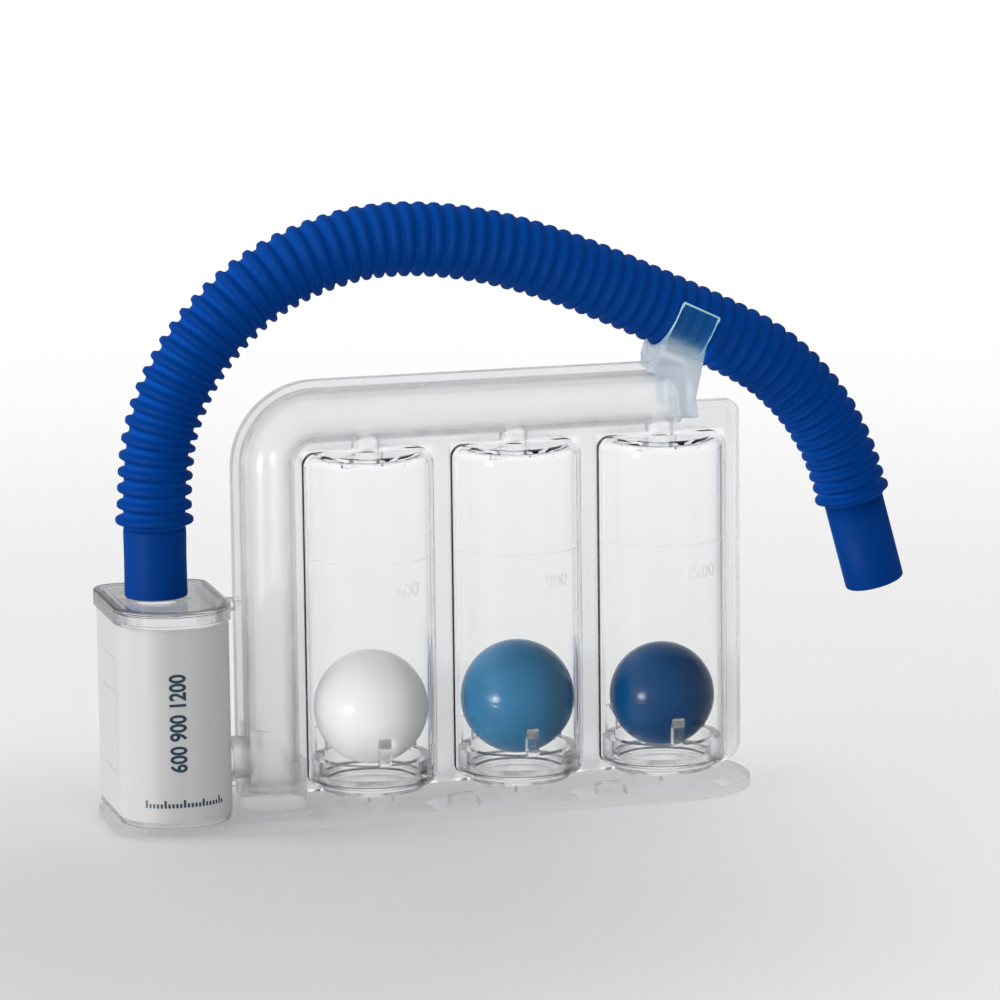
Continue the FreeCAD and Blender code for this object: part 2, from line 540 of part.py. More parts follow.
def box_lid():
    """Lid with a skirt outside the box, a plug inside it, the hose port and a latch on the flange."""
    outer = LID_FIT + LID_SKIRT_WALL
    top = box_plan(outer, BOX_TOP_Z - LID_SKIRT_HEIGHT, LID_TOP_Z)
    edges = [edge for edge in top.Edges if edge.BoundBox.ZMin > LID_TOP_Z - 1e-3]
    top = top.makeFillet(LID_EDGE_ROUND, edges)
    top = top.cut(box_plan(LID_FIT, BOX_TOP_Z - LID_SKIRT_HEIGHT, BOX_TOP_Z))
    plug_grow = -BOX_WALL - LID_FIT
    plug = box_ring(plug_grow, plug_grow - LID_PLUG_WALL, BOX_TOP_Z - LID_PLUG_HEIGHT, BOX_TOP_Z)
    boss = cylinder(PORT_BOSS_RADIUS, LID_TOP_Z - EMBED, CUFF_BOTTOM_Z, PORT_X)
    port = cylinder(PORT_BORE + PORT_WALL, LID_TOP_Z - EMBED, LID_TOP_Z + PORT_LENGTH, PORT_X)
    slot_half = LIP_THICKNESS + LATCH_SLOT_CLEARANCE
    latch_bottom = BOX_TOP_Z - LID_SKIRT_HEIGHT
    latch = block(BOX_RIGHT_X + LID_FIT + LID_SKIRT_WALL / 2, FLANGE_LEFT_X + LATCH_REACH,
                  -LATCH_WIDTH / 2, LATCH_WIDTH / 2, latch_bottom, latch_bottom + LATCH_THICKNESS)
    slot = block(FLANGE_LEFT_X - LATCH_SLOT_CLEARANCE, FLANGE_LEFT_X + LATCH_REACH + MARGIN,
                 -slot_half, slot_half, latch_bottom - MARGIN, latch_bottom + LATCH_THICKNESS + MARGIN)
    bore = cylinder(PORT_BORE, BOX_TOP_Z - MARGIN, LID_TOP_Z + PORT_LENGTH + MARGIN, PORT_X)
    return fuse([top, plug, boss, port, latch.cut(slot)]).cut(bore)


def filter_pad():
    return box_plan(-BOX_WALL - FILTER_CLEARANCE, FILTER_BOTTOM_Z, FILTER_BOTTOM_Z + FILTER_HEIGHT)


def hose_cuff():
    """Plain end of the hose, pushed over the lid's port down to its boss."""
    inside = PORT_BORE + PORT_WALL + CUFF_FIT
    return tube(CUFF_RADIUS, inside, CUFF_BOTTOM_Z, hose_route()[0].z, PORT_X)


def hose_route():
    """The route's points, stretched along X to the duct's end and lifted with the lid and the shoulder."""
    stretch = (DUCT_END_X - PORT_X) / (ROUTE_DUCT_END_X - ROUTE_PORT_X)
    foot_lift = CUFF_BOTTOM_Z - ROUTE_PORT_Z
    top_lift = SHOULDER_Z - ROUTE_SHOULDER_Z
    route = []
    for x, z in HOSE_POINTS:
        lift = foot_lift if x == ROUTE_PORT_X else top_lift
        route.append(V(PORT_X + (x - ROUTE_PORT_X) * stretch, 0, z + lift))
    return route


def hose_path():
    """Wire of straight runs joined by tangent arcs, its length and the arcs' radii."""
    points = hose_route()
    runs = [(b - a).Length for a, b in zip(points, points[1:])]
    edges = []
    radii = []
    start = points[0]
    for index in range(1, len(points) - 1):
        before = (points[index - 1] - points[index]).normalize()
        after = (points[index + 1] - points[index]).normalize()
        half = before.getAngle(after) / 2
        reach = ARC_SHARE * min(runs[index - 1], runs[index])
        radius = reach * math.tan(half)
        arc_start = points[index] + before * reach
        arc_end = points[index] + after * reach
        middle = points[index] + (before + after).normalize() * (radius / math.sin(half) - radius)
        edges.append(Part.LineSegment(start, arc_start).toShape())
        edges.append(Part.Arc(arc_start, middle, arc_end).toShape())
        radii.append(radius)
        start = arc_end
    edges.append(Part.LineSegment(start, points[-1]).toShape())
    wire = Part.Wire(edges)
    return wire, wire.Length, radii


def hose():
    """Plain tube along the route of the corrugated hose."""
    wire, length, radii = hose_path()
    start = wire.Edges[0].Vertexes[0].Point
    along = wire.Edges[0].tangentAt(wire.Edges[0].FirstParameter)

    def swept(radius):
        circle = Part.Wire(Part.makeCircle(radius, start, along))
        return wire.makePipeShell([circle], True, False)

    body = swept(HOSE_RADIUS).cut(swept(HOSE_BORE))
    expected = math.pi * (HOSE_RADIUS ** 2 - HOSE_BORE ** 2) * length
    print("hose length", round(length, 1), "volume over section times length",
          round(body.Volume / expected, 4))
    print("hose radii", [round(radius) for radius in radii])
    return body


def hose_end():
    """End point of the hose and the direction in which it leaves."""
    before, last = hose_route()[-2:]
    return last, (last - before).normalize()


def mouthpiece():
    """Hollow mouthpiece in line with the hose's end, with a rounded tip."""
    start, along = hose_end()
    body = Part.makeCylinder(MOUTHPIECE_RADIUS, MOUTHPIECE_LENGTH, start, along)
    tip_centre = start + along * MOUTHPIECE_LENGTH
    tip = [edge for edge in body.Edges if edge.CenterOfMass.distanceToPoint(tip_centre) < 0.1]
    body = body.makeFillet(MOUTHPIECE_EDGE_ROUND, tip)
    print("mouthpiece start", [round(value, 2) for value in start], "along",
          [round(value, 4) for value in along])
    return body.cut(Part.makeCylinder(MOUTHPIECE_BORE, MOUTHPIECE_LENGTH, start, along))


def clip_axis():
    """Middle of the clip's saddle, on the run of the hose that passes over it, and that run's direction."""
    clip_x = DUCT_END_X + CLIP_PAST_DUCT_END
    route = hose_route()
    start, end = next((a, b) for a, b in zip(route, route[1:]) if a.x <= clip_x < b.x)
    along = (end - start).normalize()
    return start + along * ((clip_x - start.x) / along.x), along


def clip_saddle(centre, along):
    """Open ring round the hose with a rounded lip on each arm."""
    inner = HOSE_RADIUS + CLIP_CLEARANCE
    outer = inner + CLIP_WALL
    half = CLIP_WIDTH / 2
    ring = Part.makeCylinder(outer, CLIP_WIDTH, V(0, 0, -half), UP, 2 * CLIP_HALF_WRAP)
    ring = ring.cut(cylinder(inner, -half, half))
    pieces = [ring]
    for angle in (0, 2 * CLIP_HALF_WRAP):
        tip = V(math.cos(math.radians(angle)), math.sin(math.radians(angle)), 0)
        tip = tip * (inner + CLIP_LIP_RADIUS)
        pieces.append(cylinder(CLIP_LIP_RADIUS, -half, half, tip.x, tip.y))
    saddle = fuse(pieces)
    saddle.rotate(V(0, 0, 0), UP, -CLIP_HALF_WRAP)
    down = V(along.z, 0, -along.x)
    turn = FreeCAD.Rotation(down, along.cross(down), along, "ZXY")
    saddle.Placement = FreeCAD.Placement(centre, turn).multiply(saddle.Placement)
    return saddle


def hose_clip():
    """Saddle on a waisted stem, with a foot that straddles the shoulder of the flange."""
    centre, along = clip_axis()
    inner = HOSE_RADIUS + CLIP_CLEARANCE
    saddle = clip_saddle(centre, along)
    foot_left, foot_right = DUCT_END_X, DUCT_END_X + CLIP_FOOT_LENGTH
    stem_top = centre + V(along.z, 0, -along.x) * (inner + CLIP_WALL / 2)
    top_left = stem_top + along * CLIP_STEM_TOP_START
    top_right = stem_top + along * CLIP_STEM_TOP_END
    foot_corner = V(foot_right, 0, CLIP_FOOT_BOTTOM_Z)
    waist = V(foot_left + CLIP_STEM_LENGTH, 0, (CLIP_FOOT_BOTTOM_Z + top_right.z) / 2)
    left_side = Part.makePolygon([
        foot_corner, V(foot_left, 0, CLIP_FOOT_BOTTOM_Z), V(foot_left, 0, FLANGE_TOP_Z + CLIP_OVER_FLANGE),
        top_left, top_right,
    ])
    right_side = Part.Arc(top_right, waist, foot_corner).toShape()
    stem = prism(Part.Wire(left_side.Edges + [right_side]), V(0, 2 * CLIP_FOOT_HALF_DEPTH, 0))
    stem.translate(V(0, -CLIP_FOOT_HALF_DEPTH, 0))
    hose_way = Part.makeCylinder(inner, 6 * CLIP_WIDTH, centre - along * 3 * CLIP_WIDTH, along)
    slot_half = LIP_THICKNESS + CLIP_SLOT_CLEARANCE
    slot = block(foot_left - MARGIN, foot_right + MARGIN, -slot_half, slot_half,
                 CLIP_FOOT_BOTTOM_Z - MARGIN, SHOULDER_Z)
    return fuse([saddle, stem.cut(hose_way)]).cut(slot)


def all_nodes():
    rear = half_shell()
    nodes = {
        "rear_shell": rear,
        "front_shell": rear.mirror(V(0, 0, 0), V(0, 1, 0)),
        "base_plate": base_plate(),
        "filter_box": filter_box(),
        "box_label": box_label(),
        "box_lid": box_lid(),
        "filter_pad": filter_pad(),
        "hose_clip": hose_clip(),
        "hose": hose(),
        "hose_cuff": hose_cuff(),
        "mouthpiece": mouthpiece(),
    }
    for side, x, radius, inlet in zip(SIDES, COLUMN_XS, BALL_RADII, INLET_RADII):
        nodes["ball_seat_" + side] = ball_seat(x, inlet)
        nodes["ball_" + side] = ball(x, radius)
        travel = ball_top_height(radius) - ball_rest_height(radius)
        print("ball", side, "x", round(x, 3), "rest z", round(ball_rest_height(radius), 3),
              "travel", round(travel, 3))
    return nodes


os.makedirs("parts", exist_ok=True)
for name, shape in all_nodes().items():
    if not shape.isValid() or len(shape.Solids) != 1:
        print("check", name, "valid", shape.isValid(), "solids", len(shape.Solids))
    shape.exportStep("parts/" + name + ".step")
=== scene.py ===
"""Looks of a three-ball breathing exerciser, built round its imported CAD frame.

The frame's clear shells, seats, base, filter box, lid, label and balls keep their solids and get finishes.
The hose, its cuff and mouthpiece, the hose clip and the foam filter are replaced by modelled pieces, and
the printed and moulded marks are added. Lengths are in metres, in the frame's axes: X runs along the
base, Y away from the user and Z up.
"""

import logging
import math
from collections.abc import Callable
from dataclasses import dataclass, field
from enum import Enum

import bmesh
import bpy
import numpy as np
from mathutils import Matrix, Vector

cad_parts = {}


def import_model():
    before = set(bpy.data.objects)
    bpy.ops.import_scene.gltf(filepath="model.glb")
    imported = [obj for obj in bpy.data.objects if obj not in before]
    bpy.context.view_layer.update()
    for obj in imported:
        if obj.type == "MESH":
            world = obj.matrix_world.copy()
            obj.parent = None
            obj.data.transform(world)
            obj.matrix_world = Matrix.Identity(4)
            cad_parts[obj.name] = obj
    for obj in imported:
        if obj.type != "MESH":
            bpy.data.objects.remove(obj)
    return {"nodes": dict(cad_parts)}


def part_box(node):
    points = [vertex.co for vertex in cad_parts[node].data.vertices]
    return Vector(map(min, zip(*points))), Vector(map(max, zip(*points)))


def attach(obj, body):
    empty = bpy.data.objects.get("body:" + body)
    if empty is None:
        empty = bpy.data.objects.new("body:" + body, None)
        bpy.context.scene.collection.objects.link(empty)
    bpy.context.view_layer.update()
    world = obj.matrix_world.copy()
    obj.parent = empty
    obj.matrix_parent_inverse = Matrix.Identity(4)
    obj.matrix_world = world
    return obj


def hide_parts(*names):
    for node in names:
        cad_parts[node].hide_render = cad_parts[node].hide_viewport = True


LOG = logging.getLogger("exerciser")
MM = 0.001

# Points nearer than this coincide.
NEAR = 1e-7

Pair = tuple[float, float]
Colour = tuple[float, float, float]
Piece = bpy.types.Object
Mesh = bpy.types.Mesh
Nodes = dict[str, Piece]

HOUSING = "housing"
SIDES = ("left", "middle", "right")

# The hose's middle at the clip and its direction there, each as X and Z.
SADDLE_CENTRE = (70.56 * MM, 124.88 * MM)
SADDLE_AXIS = (0.904, -0.427)


class Slot(Enum):
    """Names for material slots of the modelled pieces; no piece is given one here."""

    CLEAR = "clear"
    FROSTED = "frosted"
    LABEL = "label"
    FOAM = "foam"
    HOSE = "hose"


class Rays(Enum):
    """Light Path outputs that tell what a ray is, or how often it has been scattered or mirrored."""

    CAMERA = "Is Camera Ray"
    SHADOW = "Is Shadow Ray"
    GLOSSY = "Is Glossy Ray"
    TRANSMISSION = "Is Transmission Ray"
    SCATTERED = "Diffuse Depth"
    MIRRORED = "Glossy Depth"
    PASSED = "Transmission Depth"


# Node building


def math_node(operation: str, turned: bool = False) -> Callable[..., "Value"]:
    """A method of Value that adds a Math node, whose terms are the value and the method's arguments.

    Args:
        operation: The Math node's operation.
        turned: Whether the arguments come before the value.

    Returns:
        The method.
    """

    def add(value: "Value", *others: "Value | float") -> "Value":
        """Adds the node."""
        terms = (*others, value) if turned else (value, *others)
        return value.board.node("ShaderNodeMath", {"operation": operation}, dict(enumerate(terms)))

    return add


class Value:
    """One output of a node, on which Python's operators and a few named methods add Math nodes."""

    __add__ = math_node("ADD")
    __radd__ = math_node("ADD", turned=True)
    __sub__ = math_node("SUBTRACT")
    __rsub__ = math_node("SUBTRACT", turned=True)
    __mul__ = math_node("MULTIPLY")
    __rmul__ = math_node("MULTIPLY", turned=True)
    __truediv__ = math_node("DIVIDE")
    __pow__ = math_node("POWER")
    __abs__ = math_node("ABSOLUTE")
    __lt__ = math_node("LESS_THAN")
    __gt__ = math_node("GREATER_THAN")
    largest = math_node("MAXIMUM")
    root = math_node("SQRT")
    rounded = math_node("ROUND")

    def __init__(self, board: "Board", socket: bpy.types.NodeSocket) -> None:
        """Keeps the board that the node is on and its socket."""
        self.board = board
        self.socket = socket

    def between(self, low: float, high: float) -> "Value":
        """Zero below low, one above high and smooth between them."""
        settings = {"interpolation_type": "SMOOTHSTEP"}
        return self.board.node("ShaderNodeMapRange", settings, {0: self, 1: low, 2: high, 3: 0.0, 4: 1.0})


class Board:
    """The nodes of one material or world."""

    def __init__(self, tree: bpy.types.NodeTree) -> None:
        """Clears the tree and keeps it."""
        self.tree = tree
        tree.nodes.clear()

    def node(self, kind: str, settings: dict | None = None, values: dict | None = None,
             output: int | str = 0) -> Value:
        """Adds a node and gives one of its outputs.

        Args:
            kind: The node's type.
            settings: Properties of the node, by name, set first.
            values: Numbers, colours or Values for its inputs, by name or number.
            output: The output that is wanted, by name or number.

        Returns:
            The output.
        """
        made = self.tree.nodes.new(kind)
        for name, setting in (settings or {}).items():
            setattr(made, name, setting)
        for name, value in (values or {}).items():
            self.feed(made.inputs[name], value)
        return Value(self, made.outputs[output])

    def feed(self, socket: bpy.types.NodeSocket, value: "Value | float | Colour") -> None:
        """Links a Value to a socket, or sets a number or a colour on it.

        Args:
            socket: The input.
            value: What goes into it.
        """
        if isinstance(value, Value):
            self.tree.links.new(value.socket, socket)
        elif socket.type == "RGBA":
            socket.default_value = (*value, 1.0)
        else:
            socket.default_value = value

    def point(self) -> Value:
        """The place on the piece, in metres."""
        return self.node("ShaderNodeTexCoord", output="Object")

    def place(self) -> list[Value]:
        """X, Y and Z on the piece, in metres.

        Returns:
            The three coordinates.
        """
        split = self.tree.nodes.new("ShaderNodeSeparateXYZ")
        self.feed(split.inputs[0], self.point())
        return [Value(self, socket) for socket in split.outputs]

    def noise(self, scale: float, detail: float = 3.0, stretch: Colour = (1.0, 1.0, 1.0)) -> Value:
        """Noise from 0 to 1 on the piece's own coordinates, scale times per metre."""
        point = self.node("ShaderNodeVectorMath", {"operation": "MULTIPLY"}, {0: self.point(), 1: stretch})
        return self.node("ShaderNodeTexNoise", None, {"Vector": point, "Scale": scale, "Detail": detail})

    def mark(self, name: str) -> Value:
        """A number that the mesh carries at each point."""
        return self.node("ShaderNodeAttribute", {"attribute_name": name}, output="Fac")

    def mix(self, share: "Value | float", first: "Value | Colour", second: "Value | Colour") -> Value:
        """A colour between two."""
        return self.node("ShaderNodeMix", {"data_type": "RGBA"}, {0: share, 6: first, 7: second}, 2)

    def rays(self, *kinds: Rays) -> Value:
        """One for rays of any of these kinds.

        Args:
            kinds: The Light Path outputs.

        Returns:
            The largest of them.
        """
        found = [self.node("ShaderNodeLightPath", output=kind.value) for kind in kinds]
        total = found[0]
        for other in found[1:]:
            total = total.largest(other)
        return total

    def bump(self, height: Value, depth: float) -> Value:
        """A normal from a height map whose full range is depth metres."""
        values = {"Height": height, "Distance": depth, "Strength": 1.0}
        return self.node("ShaderNodeBump", None, values, "Normal")

    def plastic(self, values: dict) -> Value:
        """A Principled BSDF with these values."""
        return self.node("ShaderNodeBsdfPrincipled", None, values)

    def straight(self, colour: Colour) -> Value:
        """A shader that lets light straight through and tints it."""
        return self.node("ShaderNodeBsdfTransparent", None, {"Color": colour})

    def lit_through(self, body: Value, shade: Colour) -> Value:
        """A clear shader that lets the lamps' rays through, tinted by the shade."""
        return self.blend(self.rays(Rays.SHADOW), body, self.straight(shade))

    def whites(self, kind: str, *levels: float) -> list[Value]:
        """White light shaders of this kind, one for each level."""
        return [self.node(kind, None, {"Color": (1.0, 1.0, 1.0), "Strength": level}) for level in levels]

    def blend(self, share: "Value | float", first: Value, second: Value) -> Value:
        """A mix of two shaders."""
        return self.node("ShaderNodeMixShader", None, {0: share, 1: first, 2: second})

    def show(self, shader: Value, kind: str = "ShaderNodeOutputMaterial") -> None:
        """Feeds a shader to the output."""
        self.feed(self.tree.nodes.new(kind).inputs["Surface"], shader)


def node_board(kind: bpy.types.bpy_prop_collection, name: str) -> tuple[bpy.types.ID, Board]:
    """A new material or world, with its board.

    Args:
        kind: The file's materials or worlds.
        name: The new name.

    Returns:
        What was made and its empty board.
    """
    made = kind.new(name)
    made.use_nodes = True
    return made, Board(made.node_tree)


# Finishes


def scaled(colour: Colour, share: float) -> Colour:
    """This share of a colour."""
    return tuple(channel * share for channel in colour)


@dataclass(frozen=True)
class Finish:
    """A finish of a surface, made into a material once."""

    name: str

    def shader(self, board: Board) -> Value:
        """The finish's shader."""
        raise NotImplementedError

    def material(self) -> bpy.types.Material:
        """The finish as a material.

        Returns:
            The material, made at the first call.
        """
        found = bpy.data.materials.get(self.name)
        if found is None:
            found, board = node_board(bpy.data.materials, self.name)
            board.show(self.shader(board))
        return found

    def dress(self, *pieces: Piece) -> None:
        """Gives pieces this finish all over.

        Args:
            pieces: The pieces, whose materials it replaces.
        """
        for piece in pieces:
            piece.data.materials.clear()
            piece.data.materials.append(self.material())


@dataclass(frozen=True)
class ClearPlastic(Finish):
    """Clear moulded plastic: it darkens where it is seen edge on, and its outer walls are less polished.

    A polished window is the cylinder round each axis in windows, up to window_radius. Thin walls bend
    little light, so the share thin of the rays passes straight through.
    """

    through: Colour = (0.985, 0.988, 0.990)
    bend: float = 1.22
    edge: Colour = (0.80, 0.85, 0.90)
    outer_edge: Colour | None = None
    edge_power: float = 3.0
    haze: float = 0.20
    haze_change: float = 0.4
    flow_scale: float = 55.0
    flow_detail: float = 2.0
    thin: float = 0.25
    gloss: float = 0.15
    ripple: float = 0.04 * MM
    milk: float = 0.04
    milk_colour: Colour = (0.86, 0.88, 0.90)
    milk_rough: float = 0.4
    shade: Colour = (0.97, 0.975, 0.98)
    windows: tuple[float, ...] = ()
    window_radius: float = 0.0
    window_top: float = 0.0

    def window_mask(self, board: Board) -> Value | float:
        """One on the polished windows.

        Args:
            board: The material's nodes, which it adds to.

        Returns:
            The mask, or zero for a finish without windows.
        """
        if not self.windows:
            return 0.0
        x, y, z = board.place()
        pitch = self.windows[1] - self.windows[0]
        turn = ((x - self.windows[0]) / pitch).rounded()
        across = x - self.windows[0] - turn * pitch
        radius = (across * across + y * y).root()
        right_of = x > self.windows[0] - self.window_radius
        return (radius < self.window_radius) * right_of * (z < self.window_top)

    def shader(self, board: Board) -> Value:
        """Glass with a little haze, which lets the lamps' rays through.

        Args:
            board: The material's nodes, which it adds to.

        Returns:
            Its shader.
        """
        window = self.window_mask(board)
        facing = board.node("ShaderNodeLayerWeight", None, {"Blend": 0.5}, "Facing")
        edge = self.edge if self.outer_edge is None else board.mix(window, self.outer_edge, self.edge)
        colour = board.mix(facing ** self.edge_power, self.through, edge)
        flow = board.noise(self.flow_scale, self.flow_detail)
        outside = 1.0 - window
        rough = self.haze * (1.0 - self.haze_change / 2 + self.haze_change * flow) * outside
        glass = board.plastic({
            "Base Color": colour, "Roughness": rough, "Transmission Weight": 1.0, "IOR": self.bend,
            "Specular IOR Level": self.gloss, "Normal": board.bump(flow, self.ripple),
        })
        milk = board.plastic({"Base Color": self.milk_colour, "Roughness": self.milk_rough})
        clear = board.blend(self.thin * outside, glass, board.straight(self.through))
        body = board.blend(self.milk * outside, clear, milk)
        return board.lit_through(body, self.shade)


@dataclass(frozen=True)
class FrostedPlastic(Finish):
    """Milky clip plastic with clear arms whose rims carry a painted highlight for the light that they gather.
    """

    body: Colour = (0.74, 0.80, 0.88)
    tint: Colour = (0.01, 0.45, 0.60)
    tint_share: float = 0.05
    # Pale colour painted on the rims as a highlight, for the light that the clear edges gather.
    rim: Colour = (0.50, 0.83, 0.95)
    rim_highlight_cover: float = 0.85
    rim_width: float = 0.32 * MM
    rim_solid: float = 0.6
    milk: float = 0.50
    thin: float = 0.80
    half_width: float = 5.5 * MM
    arm_end: float = 3.8 * MM
    arm_start: float = -8.0 * MM
    fade_below: float = 3.5 * MM
    fade_above: float = 5.5 * MM
    through: Colour = (0.93, 0.96, 0.98)
    straight: Colour = (0.93, 0.97, 0.99)
    shade: Colour = (0.85, 0.88, 0.9)
    bend: float = 1.46
    gloss: float = 0.3
    clear_rough: float = 0.08
    frosting: float = 0.25
    milk_rough: float = 0.35
    grain_scale: float = 900.0
    grain_rough: float = 0.1
    relief: float = 0.02 * MM

    def masks(self, board: Board) -> tuple[Value, Value]:
        """Where the painted rim highlight goes and where the plastic is clear.

        The place along the saddle and above its middle are dot products with its axis and its normal.
        A rim is a band beside each side face and along the arms' ends. An arm is clear above arm_start.

        Args:
            board: The material's nodes, which it adds to.

        Returns:
            The masks of the rims and of the clear arms, each from 0 to 1.
        """
        x, _, z = board.place()
        across, up = SADDLE_AXIS
        right = x - SADDLE_CENTRE[0]
        high = z - SADDLE_CENTRE[1]
        along = abs(right * across + high * up)
        above = right * -up + high * across
        solid = self.rim_solid * self.rim_width
        side = along.between(self.half_width - self.rim_width, self.half_width - solid)
        end = above.between(self.arm_end - self.rim_width - solid, self.arm_end - self.rim_width)
        arm = above.between(self.arm_start - self.fade_below, self.arm_start + self.fade_above)
        return side.largest(end) * arm, arm

    def shader(self, board: Board) -> Value:
        """Rough glass mixed with a milky body, by the two masks; the rims get a pale painted highlight.

        Args:
            board: The material's nodes, which it adds to.

        Returns:
            Its shader.
        """
        rim, arm = self.masks(board)
        grain = board.noise(self.grain_scale)
        relief = board.bump(grain, self.relief)
        glass = board.plastic({
            "Base Color": self.through, "Roughness": self.clear_rough + self.frosting * (1.0 - arm),
            "Transmission Weight": 1.0, "IOR": self.bend, "Specular IOR Level": self.gloss, "Normal": relief,
        })
        milk = board.plastic({
            # The rims take the painted highlight colour.
            "Base Color": board.mix(rim, board.mix(arm, self.body, self.tint), self.rim),
            "Roughness": self.milk_rough + self.grain_rough * grain, "Normal": relief,
        })
        clear = board.blend(self.thin * arm, glass, board.straight(self.straight))
        share = (self.milk * (1.0 - arm) + self.tint_share * arm).largest(rim * self.rim_highlight_cover)
        body = board.blend(share, clear, milk)
        return board.lit_through(body, self.shade)


@dataclass(frozen=True)
class BallPlastic(Finish):
    """Blown ball of coloured plastic, with the faint seam of its mould at mid height."""

    colour: Colour = (0.6, 0.6, 0.6)
    rough: float = 0.20
    gloss: float = 0.10
    middle: float = 0.0
    seam_edge: Pair = (0.05 * MM, 0.22 * MM)
    cloud_scale: float = 90.0
    cloud_shade: float = 0.93
    scuff_scale: float = 700.0
    scuff_detail: float = 4.0
    scuff_stretch: Colour = (1.0, 1.0, 0.35)
    scuff_rough: float = 0.03
    relief_shares: Colour = (0.6, 0.15, 0.25)
    relief: float = 0.03 * MM

    def shader(self, board: Board) -> Value:
        """Satin plastic with cloudy colour, a seam and fine scuffs.

        Args:
            board: The material's nodes, which it adds to.

        Returns:
            Its shader.
        """
        _, _, z = board.place()
        cloud = board.noise(self.cloud_scale)
        scuff = board.noise(self.scuff_scale, self.scuff_detail, self.scuff_stretch)
        seam = 1.0 - abs(z - self.middle).between(*self.seam_edge)
        seam_share, scuff_share, cloud_share = self.relief_shares
        height = seam * seam_share + scuff * scuff_share + cloud * cloud_share
        return board.plastic({
            "Base Color": board.mix(cloud, self.colour, scaled(self.colour, self.cloud_shade)),
            "Roughness": self.rough + self.scuff_rough * scuff, "Specular IOR Level": self.gloss,
            "Normal": board.bump(height, self.relief),
        })


@dataclass(frozen=True)
class HosePlastic(Finish):
    """Soft blue hose plastic, a little worn, with its ring valleys painted lighter than the crests to offset
    the shade in them.
    """

    crest: Colour = (0.0001, 0.046, 0.262)
    # Painted light: the valleys are lighter than the crests to offset the shade that falls in them.
    valley_painted_light: Colour = (0.0001, 0.078, 0.420)
    worn: Colour = (0.0001, 0.044, 0.245)
    gloss: float = 0.025
    ring_power: float = 0.7
    wear_spread: float = 0.5
    wear_share: float = 0.2
    rough: float = 0.42
    grain_rough: float = 0.14
    valley_rough: float = 0.08
    grain_scale: float = 1400.0
    grain_detail: float = 4.0
    grain_share: float = 0.6
    cloud_scale: float = 60.0
    cloud_share: float = 0.4
    relief: float = 0.03 * MM

    def shader(self, board: Board) -> Value:
        """Satin plastic whose colour follows the rings, with painted light in the valleys.

        Args:
            board: The material's nodes, which it adds to.

        Returns:
            Its shader.
        """
        ring = board.mark("crest")
        grain = board.noise(self.grain_scale, self.grain_detail)
        cloud = board.noise(self.cloud_scale)
        # The valleys get painted light, so the rings show less shade.
        rings_with_painted_light = board.mix(ring ** self.ring_power, self.valley_painted_light, self.crest)
        wear = (cloud - 0.5) * self.wear_spread + self.wear_share
        rough = self.rough + self.grain_rough * grain + self.valley_rough * (1.0 - ring)
        return board.plastic({
            "Base Color": board.mix(wear, rings_with_painted_light, self.worn), "Roughness": rough,
            "Specular IOR Level": self.gloss,
            "Normal": board.bump(grain * self.grain_share + cloud * self.cloud_share, self.relief),
        })


@dataclass(frozen=True)
class LabelFilm(Finish):
    """Printed label: a white satin film with a faint paper grain."""

    colour: Colour = (0.63, 0.63, 0.625)
    gloss: float = 0.15
    rough: float = 0.38
    grain_scale: float = 1800.0
    grain_shade: float = 0.965
    grain_rough: float = 0.08
    grain_share: float = 0.2
    ripple_scale: float = 45.0
    ripple_detail: float = 2.0
    ripple_stretch: Colour = (1.0, 1.0, 0.4)
    ripple_share: float = 0.8
    relief: float = 0.05 * MM

    def shader(self, board: Board) -> Value:
        """White film with a soft grain and slight ripples.

        Args:
            board: The material's nodes, which it adds to.

        Returns:
            Its shader.
        """
        grain = board.noise(self.grain_scale)
        ripple = board.noise(self.ripple_scale, self.ripple_detail, self.ripple_stretch)
        return board.plastic({
            "Base Color": board.mix(grain, self.colour, scaled(self.colour, self.grain_shade)),
            "Roughness": self.rough + self.grain_rough * grain, "Specular IOR Level": self.gloss,
            "Normal": board.bump(ripple * self.ripple_share + grain * self.grain_share, self.relief),
        })


@dataclass(frozen=True)
class PrintInk(Finish):
    """Printed ink with slightly uneven cover."""

    colour: Colour = (0.002, 0.036, 0.075)
    fading: float = 0.012
    rough: float = 0.32
    cover_scale: float = 1200.0
    cover_rough: float = 0.1

    def shader(self, board: Board) -> Value:
        """Ink whose tone and gloss vary a little.

        Args:
            board: The material's nodes, which it adds to.

        Returns:
            Its shader.
        """
        cover = board.noise(self.cover_scale)
        lighter = tuple(channel + self.fading for channel in self.colour)
        return board.plastic({
            "Base Color": board.mix(cover, self.colour, lighter),
            "Roughness": self.rough + self.cover_rough * cover,
        })


@dataclass(frozen=True)
class FilterFoam(Finish):
    """Open-celled white foam."""

    colour: Colour = (0.80, 0.80, 0.78)
    cells_per_metre: float = 900.0
    cell_shade: float = 0.55
    cell_rough: float = 0.1
    rough: float = 0.85
    relief: float = 0.4 * MM

    def shader(self, board: Board) -> Value:
        """Rough foam with dark cells.

        Args:
            board: The material's nodes, which it adds to.

        Returns:
            Its shader.
        """
        places = {"Vector": board.point(), "Scale": self.cells_per_metre}
        cells = board.node("ShaderNodeTexVoronoi", None, places, "Distance")
        return board.plastic({
            "Base Color": board.mix(cells, scaled(self.colour, self.cell_shade), self.colour),
            "Roughness": self.rough + self.cell_rough * cells, "Normal": board.bump(cells, self.relief),
        })


# Surfaces


def new_mesh(name: str, points: np.ndarray, faces: np.ndarray) -> Mesh:
    """A mesh of points and faces.

    Args:
        name: Its name.
        points: The points, X, Y and Z last.
        faces: The numbers of each face's points.

    Returns:
        The mesh.
    """
    mesh = bpy.data.meshes.new(name)
    mesh.from_pydata(points.reshape(-1, 3).tolist(), [], faces.tolist())
    return mesh


def linked(name: str, data: bpy.types.ID) -> Piece:
    """A new object in the scene.

    Args:
        name: Its name.
        data: Its mesh, curve, lamp or camera.

    Returns:
        The object.
    """
    made = bpy.data.objects.new(name, data)
    bpy.context.scene.collection.objects.link(made)
    return made


